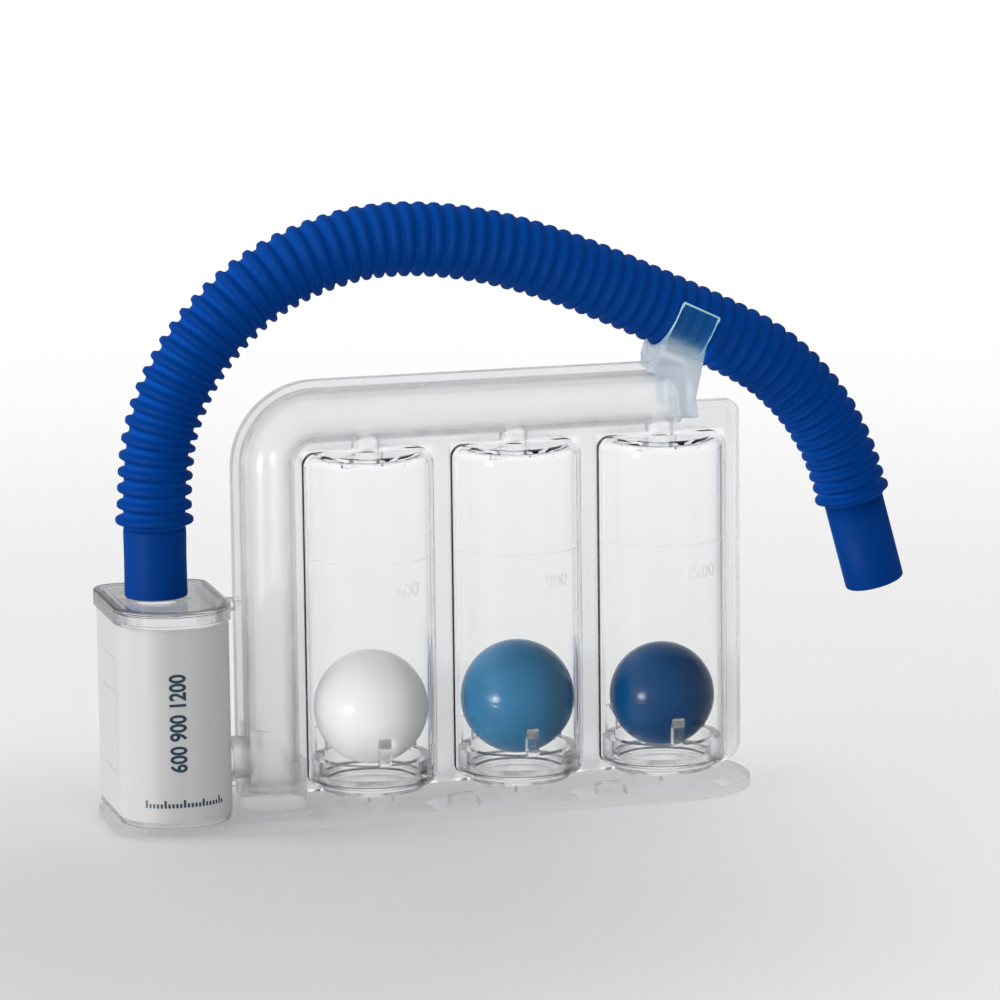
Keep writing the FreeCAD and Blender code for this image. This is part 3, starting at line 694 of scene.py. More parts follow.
def mesh_of(curve: bpy.types.Curve) -> Mesh:
    """A curve's or a text's shape as a mesh.

    Args:
        curve: The curve or text.

    Returns:
        Its mesh.
    """
    holder = linked("holder", curve)
    mesh = bpy.data.meshes.new_from_object(holder)
    bpy.data.objects.remove(holder)
    return mesh


def points_of(mesh: Mesh) -> np.ndarray:
    """A mesh's points, one row each.

    Args:
        mesh: The mesh.

    Returns:
        The points, in its order.
    """
    flat = np.zeros(len(mesh.vertices) * 3)
    mesh.vertices.foreach_get("co", flat)
    return flat.reshape(-1, 3)


def move_points(mesh: Mesh, points: np.ndarray) -> None:
    """Moves a mesh's points to these places."""
    mesh.vertices.foreach_set("co", points.ravel())


def grid_faces(rows: int, columns: int, rows_closed: bool, columns_closed: bool) -> np.ndarray:
    """Quads between neighbours in a grid of points.

    Args:
        rows: Number of rows of points.
        columns: Number of points in a row.
        rows_closed: Whether the last row joins the first.
        columns_closed: Whether a row's last point joins its first.

    Returns:
        A row for each quad, with the numbers of its four points.
    """
    row, column = np.meshgrid(np.arange(rows if rows_closed else rows - 1),
                              np.arange(columns if columns_closed else columns - 1), indexing="ij")
    next_row = (row + 1) % rows
    next_column = (column + 1) % columns
    corners = (row * columns + column, row * columns + next_column,
               next_row * columns + next_column, next_row * columns + column)
    return np.stack(corners, axis=-1).reshape(-1, 4)


def make_piece(name: str, points: np.ndarray, faces: np.ndarray,
               marks: dict[str, np.ndarray] | None = None) -> Piece:
    """Makes a smooth closed piece of points and faces.

    Args:
        name: The piece's name.
        points: The points, X, Y and Z last.
        faces: The numbers of each face's points.
        marks: Numbers for each point, by name, which its finish reads.

    Returns:
        The piece.
    """
    mesh = new_mesh(name, points, faces)
    for mark, values in (marks or {}).items():
        attribute = mesh.attributes.new(mark, "FLOAT", "POINT")
        attribute.data.foreach_set("value", np.asarray(values, np.float32).ravel())
    tidy(mesh)
    return linked(name, mesh)


def tidy(mesh: Mesh, smooth: bool = True) -> None:
    """Merges points that coincide, turns the faces outwards and shades them smooth.

    Args:
        mesh: The mesh, changed in place.
        smooth: Whether the faces are shaded smooth.
    """
    work = bmesh.new()
    work.from_mesh(mesh)
    bmesh.ops.remove_doubles(work, verts=work.verts, dist=NEAR)
    bmesh.ops.recalc_face_normals(work, faces=work.faces)
    for face in work.faces:
        face.smooth = smooth
    work.to_mesh(mesh)
    work.free()


def rounded_loop(corners: list[tuple[float, float, float]], steps: int = 6) -> np.ndarray:
    """Closed loop through corners in a plane, each given with its radius and rounded by an arc.

    An arc starts where the side's distance from the corner is the radius over the tangent of half the
    corner's angle, and runs about a centre that lies on the corner's bisector.

    Args:
        corners: First and second coordinate and radius of each corner, in order.
        steps: Points on each arc.

    Returns:
        The loop's points, one row each.
    """
    loop = []
    places = np.array([corner[:2] for corner in corners])
    for index, (first, second, radius) in enumerate(corners):
        point = np.array((first, second))
        before = places[index - 1] - point
        after = places[(index + 1) % len(corners)] - point
        before /= np.linalg.norm(before)
        after /= np.linalg.norm(after)
        half = math.acos(float(np.clip(before @ after, -1.0, 1.0))) / 2
        if radius == 0.0 or half > math.pi / 2 - 1e-6:
            loop.append(point[None])
            continue
        bisector = (before + after) / np.linalg.norm(before + after)
        centre = point + bisector * radius / math.sin(half)
        start = point + before * radius / math.tan(half) - centre
        end = point + after * radius / math.tan(half) - centre
        turn = math.pi - 2 * half
        share = np.linspace(0.0, 1.0, steps)[:, None]
        arc = np.sin((1 - share) * turn) * start + np.sin(share * turn) * end
        loop.append(centre + arc / math.sin(turn))
    return np.concatenate(loop)


@dataclass
class Line:
    """A smooth line in an upright plane of constant Y, read by the distance along it."""

    points: np.ndarray
    distance: np.ndarray = field(init=False)
    tangents: np.ndarray = field(init=False)

    def __post_init__(self) -> None:
        """Works out the distance and the direction at each point."""
        steps = np.linalg.norm(np.diff(self.points, axis=0), axis=1)
        self.distance = np.concatenate(([0.0], np.cumsum(steps)))
        slopes = np.gradient(self.points, self.distance, axis=0)
        self.tangents = slopes / np.linalg.norm(slopes, axis=1)[:, None]

    @property
    def length(self) -> float:
        """The line's length."""
        return float(self.distance[-1])

    def at(self, along: np.ndarray) -> tuple[np.ndarray, np.ndarray]:
        """Points and directions at these distances.

        Args:
            along: Distances from the line's start.

        Returns:
            The points and the unit directions, one row for each distance.
        """
        points = np.stack([np.interp(along, self.distance, axis) for axis in self.points.T], axis=-1)
        tangents = np.stack([np.interp(along, self.distance, axis) for axis in self.tangents.T], axis=-1)
        return points, tangents / np.linalg.norm(tangents, axis=1)[:, None]

    @classmethod
    def straight(cls, start: np.ndarray, direction: np.ndarray, length: float) -> "Line":
        """A straight line."""
        share = np.linspace(0.0, length, 3)[:, None]
        return cls(np.asarray(start, float) + share * np.asarray(direction, float))

    @classmethod
    def spline(cls, route: list[Pair], unit: float) -> "Line":
        """The line of a NURBS spline whose control points are X and Z of a route in the plane Y = 0.

        Args:
            route: The control points.
            unit: The route's unit in metres.

        Returns:
            The line.
        """
        control = np.array([(x * unit, 0.0, z * unit, 1.0) for x, z in route])
        curve = bpy.data.curves.new("route", "CURVE")
        curve.dimensions = "3D"
        curve.resolution_u = 32
        spline = curve.splines.new("NURBS")
        spline.points.add(len(control) - 1)
        spline.points.foreach_set("co", control.ravel())
        spline.order_u = 3
        spline.use_endpoint_u = True
        points = points_of(mesh_of(curve))
        moved = np.linalg.norm(np.diff(points, axis=0), axis=1) > NEAR
        return cls(points[np.concatenate(([True], moved))])


def carried_ring(line: Line, along: np.ndarray, radius: np.ndarray, segments: int) -> np.ndarray:
    """Rows of points, one for each circle carried along a line in a plane of constant Y.

    The point at angle a of a circle is its centre plus the radius times cosine a along Y and sine a
    along the line's normal in the plane. The distances along may turn back, as for a tube's inside,
    and a circle has one radius or one for each of its points.

    Args:
        line: The line.
        along: Each circle's distance along it.
        radius: Each circle's radius, or one for each of its points.
        segments: Points on each circle.

    Returns:
        The points, by circle and by angle.
    """
    centres, tangents = line.at(along)
    across = np.array((0.0, 1.0, 0.0))
    normals = np.cross(tangents, across)
    angle = np.linspace(0.0, 2 * np.pi, segments, endpoint=False)[None, :, None]
    ring = np.cos(angle) * across + np.sin(angle) * normals[:, None, :]
    spread = radius if radius.ndim == 2 else radius[:, None]
    return centres[:, None, :] + spread[..., None] * ring


def wall_piece(name: str, line: Line, along: np.ndarray, radius: np.ndarray, segments: int,
               marks: dict[str, np.ndarray] | None = None) -> Piece:
    """A tube's wall: a closed loop of distances and radii, carried round a line.

    Args:
        name: The piece's name.
        line: The tube's middle.
        along: The loop's distances along the line.
        radius: The loop's radii.
        segments: Points round the line.
        marks: A number for each point of the loop, by name.

    Returns:
        The piece.
    """
    points = carried_ring(line, along, radius, segments)
    spread = {mark: np.repeat(values, segments) for mark, values in (marks or {}).items()}
    return make_piece(name, points, grid_faces(len(along), segments, True, True), spread)


def text_mesh(words: str, height: float, bold: float = 0.012) -> Mesh:
    """Flat letters of this height and boldness, centred on the origin, as triangles.

    Args:
        words: The letters.
        height: Their height in metres.
        bold: How much the outline is widened, in shares of the font size.

    Returns:
        The mesh.
    """
    curve = bpy.data.curves.new("letters", "FONT")
    curve.body = words
    curve.align_x = "CENTER"
    curve.align_y = "CENTER"
    curve.resolution_u = 6
    curve.offset = bold
    mesh = mesh_of(curve)
    points = points_of(mesh)
    middle = (points.max(0) + points.min(0)) / 2
    move_points(mesh, (points - middle) * (height / np.ptp(points[:, 1])))
    return mesh


def sliced(mesh: Mesh, axis: int, step: float) -> None:
    """Cuts a flat mesh every step along an axis, so that it can be bent.

    Args:
        mesh: The mesh, changed in place.
        axis: The number of the axis.
        step: The distance between cuts.
    """
    work = bmesh.new()
    work.from_mesh(mesh)
    bmesh.ops.triangulate(work, faces=work.faces)
    normal = Vector((0.0, 0.0, 0.0))
    normal[axis] = 1.0
    reach = np.abs(points_of(mesh)[:, axis]).max()
    for place in np.arange(-reach + step / 2, reach, step):
        parts = work.verts[:] + work.edges[:] + work.faces[:]
        bmesh.ops.bisect_plane(work, geom=parts, plane_co=normal * float(place), plane_no=normal, dist=NEAR)
    work.to_mesh(mesh)
    work.free()


def raised(name: str, mesh: Mesh, thickness: float) -> Piece:
    """A piece from a bent sheet, given this thickness outwards.

    Args:
        name: The piece's name.
        mesh: The sheet.
        thickness: Its depth in metres.

    Returns:
        The piece.
    """
    tidy(mesh, smooth=False)
    piece = linked(name, mesh)
    wall = piece.modifiers.new("thickness", "SOLIDIFY")
    wall.thickness = thickness
    wall.offset = 1.0
    return piece


def fit(piece: Piece, stands_for: str = "") -> None:
    """Puts a piece on the housing and in a CAD node's place.

    Args:
        piece: The piece.
        stands_for: The CAD node that it replaces, if any.
    """
    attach(piece, HOUSING)
    if stands_for:
        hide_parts(stands_for)
    LOG.info("piece %s", piece.name)


def box_centre(node: str) -> Vector:
    """Middle of a CAD node's box."""
    low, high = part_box(node)
    return (low + high) / 2


# Sub-assemblies


@dataclass
class BallColumns:
    """The clear shells with their three columns, the ball seats, the base and the marks moulded on them."""

    wall: float = 1.5 * MM
    clearance: float = 0.8 * MM
    numbers: tuple[str, ...] = ("600", "900", "1200")
    number_height: float = 3.6 * MM
    number_z: float = 60.0 * MM
    number_angle: float = 22.0
    number_depth: float = 0.2 * MM
    number_lift: float = 0.01 * MM
    number_slice: float = 0.8 * MM
    line_z: float = 67.3 * MM
    line_radius: float = 0.12 * MM
    line_half_angle: float = 78.0
    line_steps: int = 72
    line_sides: int = 8
    line_taper: float = 0.15
    window_margin: float = 0.2 * MM
    window_below_top: float = 18.6 * MM

    @property
    def axes(self) -> list[float]:
        """X of each column's axis."""
        return [box_centre(f"ball_{side}").x for side in SIDES]

    @property
    def radius(self) -> float:
        """Outside radius of a column."""
        low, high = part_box("ball_left")
        return (high.x - low.x) / 2 + self.clearance + self.wall

    def dress(self, nodes: Nodes) -> None:
        """Gives the shells, the seats and the base their finishes.

        Args:
            nodes: The frame's pieces, by name.
        """
        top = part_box("front_shell")[1].z
        shell = ClearPlastic("clear_shell", edge=(0.74, 0.79, 0.86), outer_edge=(0.58, 0.61, 0.66),
                             through=(0.976, 0.978, 0.980), milk=0.08, milk_colour=(0.70, 0.72, 0.74),
                             windows=tuple(self.axes), window_radius=self.radius + self.window_margin,
                             window_top=top - self.window_below_top)
        shell.dress(nodes["front_shell"], nodes["rear_shell"])
        seat = ClearPlastic("clear_seat", bend=1.47, haze=0.0, thin=0.12, milk=0.0, gloss=0.5,
                            edge=(0.42, 0.50, 0.64))
        seat.dress(*[nodes[f"ball_seat_{side}"] for side in SIDES])
        base = ClearPlastic("clear_base", bend=1.47, haze=0.0, thin=0.50, milk=0.0, gloss=0.5,
                            through=(0.995, 0.996, 0.998), edge=(0.72, 0.77, 0.84), shade=(0.97, 0.975, 0.98))
        base.dress(nodes["base_plate"])
        LOG.info("shells, seats and base dressed")

    def on_column(self, x: float, angle: np.ndarray, z: np.ndarray, lift: float) -> np.ndarray:
        """Points on a column: its axis plus the radius times sine and minus cosine of the front's angle."""
        reach = self.radius + lift
        return np.stack([x + reach * np.sin(angle), -reach * np.cos(angle), z + 0 * angle], axis=-1)

    def number(self, side: str, x: float, words: str) -> Piece:
        """Raised number on the front of a column.

        Args:
            side: The column.
            x: Its axis's X.
            words: The number.

        Returns:
            The piece.
        """
        mesh = text_mesh(words, self.number_height)
        sliced(mesh, 0, self.number_slice)
        flat = points_of(mesh)
        angle = math.radians(self.number_angle) + flat[:, 0] / self.radius
        move_points(mesh, self.on_column(x, angle, self.number_z + flat[:, 1], self.number_lift))
        return raised(f"number_{side}", mesh, self.number_depth)

    def level_line(self, side: str, x: float) -> Piece:
        """Thin raised line round the front of a column.

        Its section is a circle about each point of the arc, in the plane of the axis and that point.

        Args:
            side: The column.
            x: Its axis's X.

        Returns:
            The piece.
        """
        reach = math.radians(self.line_half_angle)
        angle = np.linspace(-reach, reach, self.line_steps)[:, None]
        turn = np.linspace(0.0, 2 * np.pi, self.line_sides, endpoint=False)[None, :]
        swell = np.sin(np.linspace(0.0, np.pi, self.line_steps))[:, None] ** self.line_taper
        thin = swell * self.line_radius
        out = self.radius + thin * np.cos(turn)
        points = np.stack([x + out * np.sin(angle), -out * np.cos(angle),
                           self.line_z + thin * np.sin(turn) + 0 * angle], axis=-1)
        faces = grid_faces(*points.shape[:2], False, True)
        return make_piece(f"level_line_{side}", points, faces)

    def build(self, nodes: Nodes) -> None:
        """Dresses the frame's clear pieces and makes the marks on the columns.

        Args:
            nodes: The frame's pieces, by name.
        """
        self.dress(nodes)
        mark = ClearPlastic("clear_mark", haze=0.05, thin=0.35, milk=0.05)
        for side, x, words in zip(SIDES, self.axes, self.numbers):
            for piece in (self.number(side, x, words), self.level_line(side, x)):
                mark.dress(piece)
                fit(piece)


@dataclass
class Balls:
    """The three balls, each dressed in its own colour."""

    white: Colour = (0.86, 0.86, 0.85)
    blue: Colour = (0.026, 0.130, 0.252)
    navy: Colour = (0.0002, 0.037, 0.122)

    def build(self, nodes: Nodes) -> None:
        """Gives each ball its colour.

        Args:
            nodes: The frame's pieces, by name.
        """
        for side, colour in zip(SIDES, (self.white, self.blue, self.navy)):
            name = f"ball_{side}"
            BallPlastic(f"plastic_{name}", colour=colour, middle=box_centre(name).z).dress(nodes[name])
            LOG.info("ball %s dressed", side)


@dataclass
class Hose:
    """The corrugated hose, its plain cuff on the lid's port and its mouthpiece."""

    route: tuple[Pair, ...] = (
        (-72.5, 77.6), (-72.5, 94.8), (-67.8, 111.2), (-58.9, 125.7), (-46.5, 137.4), (-31.4, 145.4),
        (-12.0, 150.0), (12.0, 147.9), (36.5, 140.5), (69.3, 125.5), (88.1, 116.3), (96.7, 110.1),
        (104.1, 102.5), (110.1, 93.8), (114.6, 84.1), (117.3, 73.9),
    )
    length: float = 264.0 * MM
    crest_radius: float = 9.7 * MM
    valley_radius: float = 8.0 * MM
    bore_radius: float = 7.4 * MM
    end_ring: float = 0.35 * MM
    arch_shares: tuple[float, ...] = (0.0, 0.22, 0.40, 0.72, 0.86, 1.0)
    arch_pressed: tuple[float, ...] = (0.0, 0.10, 0.62, 0.62, 0.35, 0.20)
    rings: int = 70
    first_pitch: float = 3.95
    last_pitch: float = 3.50
    steps_per_ring: int = 12
    steepness: float = 2.1
    unevenness: float = 0.035
    uneven_turns: Pair = (2.3, 0.7)
    end_reach: float = 0.6
    under_power: float = 1.5
    top_pressed: float = 0.45
    segments: int = 56
    cuff_radius: float = 8.15 * MM
    cuff_bore: float = 6.75 * MM
    cuff_lip: float = 0.5 * MM
    cuff_waist: float = 0.08 * MM
    waist_share: float = 0.55
    waist_bend: float = 12.0 * MM
    cuff_shoulder: float = 1.2 * MM
    cuff_overlap: float = 0.2 * MM
    mouth_length: float = 23.8 * MM
    mouth_radius: float = 7.9 * MM
    mouth_bore: float = 6.5 * MM
    mouth_rims: Pair = (0.7 * MM, 0.35 * MM)

    def ring_phase(self, share: np.ndarray) -> np.ndarray:
        """Number of rings passed at a share of the length."""
        # The pitch changes evenly from the first to the last, so the count is the logarithm of the pitch
        # there over the first pitch, scaled to the whole number of rings.
        grown = 1.0 + (self.last_pitch / self.first_pitch - 1.0) * share
        return self.rings * np.log(grown) / math.log(self.last_pitch / self.first_pitch)

    def tube(self, line: Line) -> Piece:
        """The corrugated tube.

        The crest's share of the depth is half of one minus the hyperbolic tangent of the cosine of the
        ring phase, which gives flat crests and valleys with steep flanks. The valleys are shallower
        along the arch, and more so on its underside, where the rings are pressed together.

        Args:
            line: The hose's middle.

        Returns:
            The piece.
        """
        share = np.linspace(0.0, 1.0, self.rings * self.steps_per_ring + 1)
        phase = self.ring_phase(share)
        crest = 0.5 - 0.5 * np.tanh(self.steepness * np.cos(2 * np.pi * phase)) / math.tanh(self.steepness)
        fast, slow = self.uneven_turns
        uneven = 1.0 + self.unevenness * np.sin(fast * phase) * np.sin(slow * phase + 1.0)
        near_end = np.minimum(np.abs(phase - 0.5), np.abs(phase - self.rings + 0.5))
        top = (self.crest_radius + self.end_ring * np.exp(-((near_end / self.end_reach) ** 2)))[:, None]
        angle = np.linspace(0.0, 2 * np.pi, self.segments, endpoint=False)[None, :]
        underside = (0.5 + 0.5 * np.sin(angle)) ** self.under_power
        arch = np.interp(share, self.arch_shares, self.arch_pressed)[:, None]
        pressed = arch * (self.top_pressed + (1.0 - self.top_pressed) * underside)
        depth = (top - self.valley_radius) * (1.0 - pressed)
        outer = top - depth * (1.0 - crest * uneven)[:, None]
        inside = np.linspace(1.0, 0.0, 2 * self.rings)
        along = np.concatenate([share, inside]) * line.length
        radius = np.concatenate([outer, np.full((len(inside), self.segments), self.bore_radius)])
        marks = {"crest": np.concatenate([crest, np.zeros(len(inside))])}
        return wall_piece("corrugated_hose", line, along, radius, self.segments, marks)

    def plain(self, name: str, line: Line, loop: np.ndarray) -> Piece:
        """A plain end of the hose with this wall, in the colour of the crests."""
        return wall_piece(name, line, loop[:, 0], loop[:, 1], self.segments, {"crest": np.ones(len(loop))})

    def cuff(self) -> Piece:
        """Plain cuff from the lid's boss up to the first ring, with a soft lower edge and a slight waist.

        Returns:
            The piece.
        """
        low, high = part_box("hose_cuff")
        start = np.array(((low.x + high.x) / 2, 0.0, low.z))
        length = high.z - low.z
        end = length + self.cuff_overlap
        loop = rounded_loop([
            (0.0, self.cuff_bore, 0.2 * MM), (0.0, self.cuff_radius, self.cuff_lip),
            (length * self.waist_share, self.cuff_radius - self.cuff_waist, self.waist_bend),
            (length - self.cuff_shoulder, self.cuff_radius, 1.0 * MM), (end, self.valley_radius, 0.0),
            (end, self.cuff_bore, 0.0),
        ])
        upright = Line.straight(start, np.array((0.0, 0.0, 1.0)), length + MM)
        return self.plain("plain_cuff", upright, loop)

    def mouth(self, line: Line) -> Piece:
        """Plain mouthpiece in line with the hose's end, with a rounded tip.

        Args:
            line: The hose's middle.

        Returns:
            The piece.
        """
        points, tangents = line.at(np.array([line.length]))
        length = self.mouth_length
        outer_rim, inner_rim = self.mouth_rims
        loop = rounded_loop([
            (0.0, self.mouth_bore, 0.0), (0.0, self.mouth_radius, 0.0),
            (length, self.mouth_radius, outer_rim), (length, self.mouth_bore, inner_rim),
        ], 8)
        straight = Line.straight(points[0], tangents[0], length + MM)
        return self.plain("plain_mouthpiece", straight, loop)

    def build(self) -> None:
        line = Line.spline(list(self.route), MM)
        made = {"hose": self.tube(line), "hose_cuff": self.cuff(), "mouthpiece": self.mouth(line)}
        for node, piece in made.items():
            HosePlastic("hose_plastic").dress(piece)
            fit(piece, node)
        LOG.info("hose line %.1f mm", line.length / MM)


@dataclass
class FilterUnit:
    """The filter box with its lid, label, printed marks and foam filter."""

    front_radius: float = 13.0 * MM
    label_thickness: float = 0.3 * MM
    print_lift: float = 0.012 * MM
    print_depth: float = 0.02 * MM
    scale_words: str = "600 900 1200"
    scale_bold: float = 0.028
    scale_length: float = 25.7 * MM
    scale_height: float = 4.6 * MM
    scale_place: float = -1.6 * MM
    scale_z: float = 30.3 * MM
    slice_step: float = 0.6 * MM
    tick_count: int = 22
    tick_group: int = 5
    tick_reach: float = 10.5 * MM
    tick_half_width: float = 0.3 * MM
    tick_foot: float = -1.0 * MM
    tick_tops: Pair = (0.1 * MM, 1.0 * MM)
    tick_place: float = 0.2 * MM
    tick_z: float = 9.2 * MM
    panel_half: Pair = (8.0 * MM, 15.0 * MM)
    panel_split: float = 0.4
    panel_line: float = 0.14 * MM
    panel_place: float = -31.0 * MM
    panel_z: float = 30.0 * MM
    foam_round: float = 1.6 * MM
    foam_corners: Pair = (11.3 * MM, 3.3 * MM)
    foam_sink: float = 0.35 * MM
    foam_ripple: float = 0.12 * MM
    ripple_turns: Pair = (0.9, 0.7)
    foam_corner_steps: int = 14
    foam_flat_steps: int = 10
    foam_edge_steps: int = 12
    foam_rim_share: float = 0.15

    def on_label(self, along: np.ndarray, z: np.ndarray, lift: float) -> np.ndarray:
        """Points on the label by the distance along it from the middle of its front, positive to the right.

        The front is a short flat between two quarter circles, and the sides run back from them.

        Args:
            along: Distances along the label.
            z: Heights in the frame.
            lift: How far the points stand off the label.

        Returns:
            The points, one row each.
        """
        low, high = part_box("box_label")
        radius = self.front_radius + self.label_thickness
        flat = (high.x - low.x) / 2 - radius
        middle_x = (low.x + high.x) / 2
        sign = np.sign(along)
        distance = np.abs(along)
        turn = np.clip((distance - flat) / radius, 0.0, math.pi / 2)
        behind = np.maximum(distance - flat - radius * math.pi / 2, 0.0)
        reach = radius + lift
        x = middle_x + sign * (np.minimum(distance, flat) + reach * np.sin(turn))
        y = low.y + radius - reach * np.cos(turn) + behind
        return np.stack([x, y, z + 0 * along], axis=-1)

    def printed(self, name: str, mesh: Mesh, turned: bool, along: float, z: float,
                axis: int) -> Piece:
        """Bends flat print round the label and gives it depth.

        Args:
            name: The piece's name.
            mesh: The flat print, with its middle at the origin.
            turned: Whether it reads upwards.
            along: Its middle's place along the label.
            z: Its middle's height.
            axis: The number of the flat axis that is bent.

        Returns:
            The piece.
        """
        sliced(mesh, axis, self.slice_step)
        flat = points_of(mesh)
        first, second = (-flat[:, 1], flat[:, 0]) if turned else (flat[:, 0], flat[:, 1])
        move_points(mesh, self.on_label(along + first, z + second, self.print_lift))
        return raised(name, mesh, self.print_depth)

    def bars(self, rectangles: list[tuple[float, float, float, float]]) -> Mesh:
        """Flat mesh of rectangles.

        Args:
            rectangles: Left, bottom, right and top of each.

        Returns:
            The mesh.
        """
        corners = np.array(rectangles)[:, [(0, 1), (2, 1), (2, 3), (0, 3)]]
        points = np.concatenate([corners, np.zeros((*corners.shape[:2], 1))], axis=-1)
        return new_mesh("bars", points, np.arange(4 * len(corners)).reshape(-1, 4))

    def marks(self) -> list[Piece]:
        """Plain flow numbers, a row of ticks and a thin panel frame on the label.

        Returns:
            The three pieces.
        """
        words = text_mesh(self.scale_words, 1.0, self.scale_bold)
        flat = points_of(words)
        flat[:, 0] *= self.scale_length / np.ptp(flat[:, 0])
        flat[:, 1] *= self.scale_height / np.ptp(flat[:, 1])
        move_points(words, flat)
        numbers = self.printed("label_numbers", words, True, self.scale_place, self.scale_z, 1)
        short, long = self.tick_tops
        half = self.tick_half_width
        places = np.linspace(-self.tick_reach, self.tick_reach, self.tick_count)
        ticks = [(place - half, self.tick_foot, place + half, short if index % self.tick_group else long)
                 for index, place in enumerate(places)]
        row = self.printed("label_ticks", self.bars(ticks), False, self.tick_place, self.tick_z, 0)
        wide, high = self.panel_half
        thin = self.panel_line
        split = high * self.panel_split
        frame = [(-wide, high - thin, wide, high), (-wide, -high, wide, -high + thin),
                 (wide - thin, -high, wide, high), (-wide, split, wide, split + thin)]
        panel = self.printed("label_panel", self.bars(frame), False, self.panel_place, self.panel_z, 0)
        PrintInk("print_dark").dress(numbers, row)
        PrintInk("print_grey", colour=(0.28, 0.30, 0.33)).dress(panel)
        return [numbers, row, panel]

    def foam(self) -> Piece:
        """Foam block with the box's plan, soft edges and slightly sunken faces.

        Its section from the middle of the underside, round the edge and to the middle of the top is
        carried round the plan. A slow ripple, the product of two sines, moves its flat faces up and down.

        Returns:
            The piece.
        """
        low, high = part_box("filter_pad")
        front, rear = self.foam_corners
        plan = rounded_loop([(low.x, low.y, front), (high.x, low.y, front), (high.x, high.y, rear),
                             (low.x, high.y, rear)], self.foam_corner_steps)
        middle = np.array(((low.x + high.x) / 2, (low.y + high.y) / 2))
        edge = self.foam_round
        flats = self.foam_flat_steps
        turn = np.linspace(-math.pi / 2, math.pi / 2, self.foam_edge_steps)
        under = np.linspace(1.0, self.foam_rim_share, flats)
        inward = np.concatenate([under, np.zeros(len(turn)), under[::-1]])
        inset = np.concatenate([np.full(flats, edge), edge * (1 - np.cos(turn)), np.full(flats, edge)])
        side = np.where(turn < 0, low.z + edge, high.z - edge) + edge * np.sin(turn)
        height = np.concatenate([np.full(flats, low.z), side, np.full(flats, high.z)])[:, None]
        inward = inward[:, None]
        spokes = plan - middle
        unit = spokes / np.linalg.norm(spokes, axis=1)[:, None]
        rim = spokes[None] - unit[None] * inset[:, None, None]
        flat = middle + rim * (1.0 - inward[..., None])
        sunk = self.foam_sink * inward * np.where(height > (low.z + high.z) / 2, -1.0, 1.0)
        across, along = self.ripple_turns
        waves = np.sin(flat[..., 0] / MM * across) * np.sin(flat[..., 1] / MM * along + 1.0)
        level = height + sunk + self.foam_ripple * waves * (inward > 0)
        points = np.concatenate([flat, level[..., None]], axis=-1)
        return make_piece("foam_filter", points, grid_faces(*points.shape[:2], False, True))

    def build(self, nodes: Nodes) -> None:
        """Dresses the box, its lid and label, and makes the foam and the prints.

        Args:
            nodes: The frame's pieces, by name.
        """
        box = ClearPlastic("clear_box", bend=1.35, haze=0.0, thin=0.2, milk=0.0, gloss=0.5,
                           edge=(0.78, 0.81, 0.84))
        box.dress(nodes["filter_box"])
        lid = ClearPlastic("clear_lid", through=(0.95, 0.953, 0.958), bend=1.40, haze=0.0, thin=0.15,
                           milk=0.0, gloss=0.5, edge=(0.40, 0.42, 0.46))
        lid.dress(nodes["box_lid"])
        LabelFilm("label_film").dress(nodes["box_label"])
        for piece in self.marks():
            fit(piece)
        foam = self.foam()
        FilterFoam("filter_foam").dress(foam)
        fit(foam, "filter_pad")


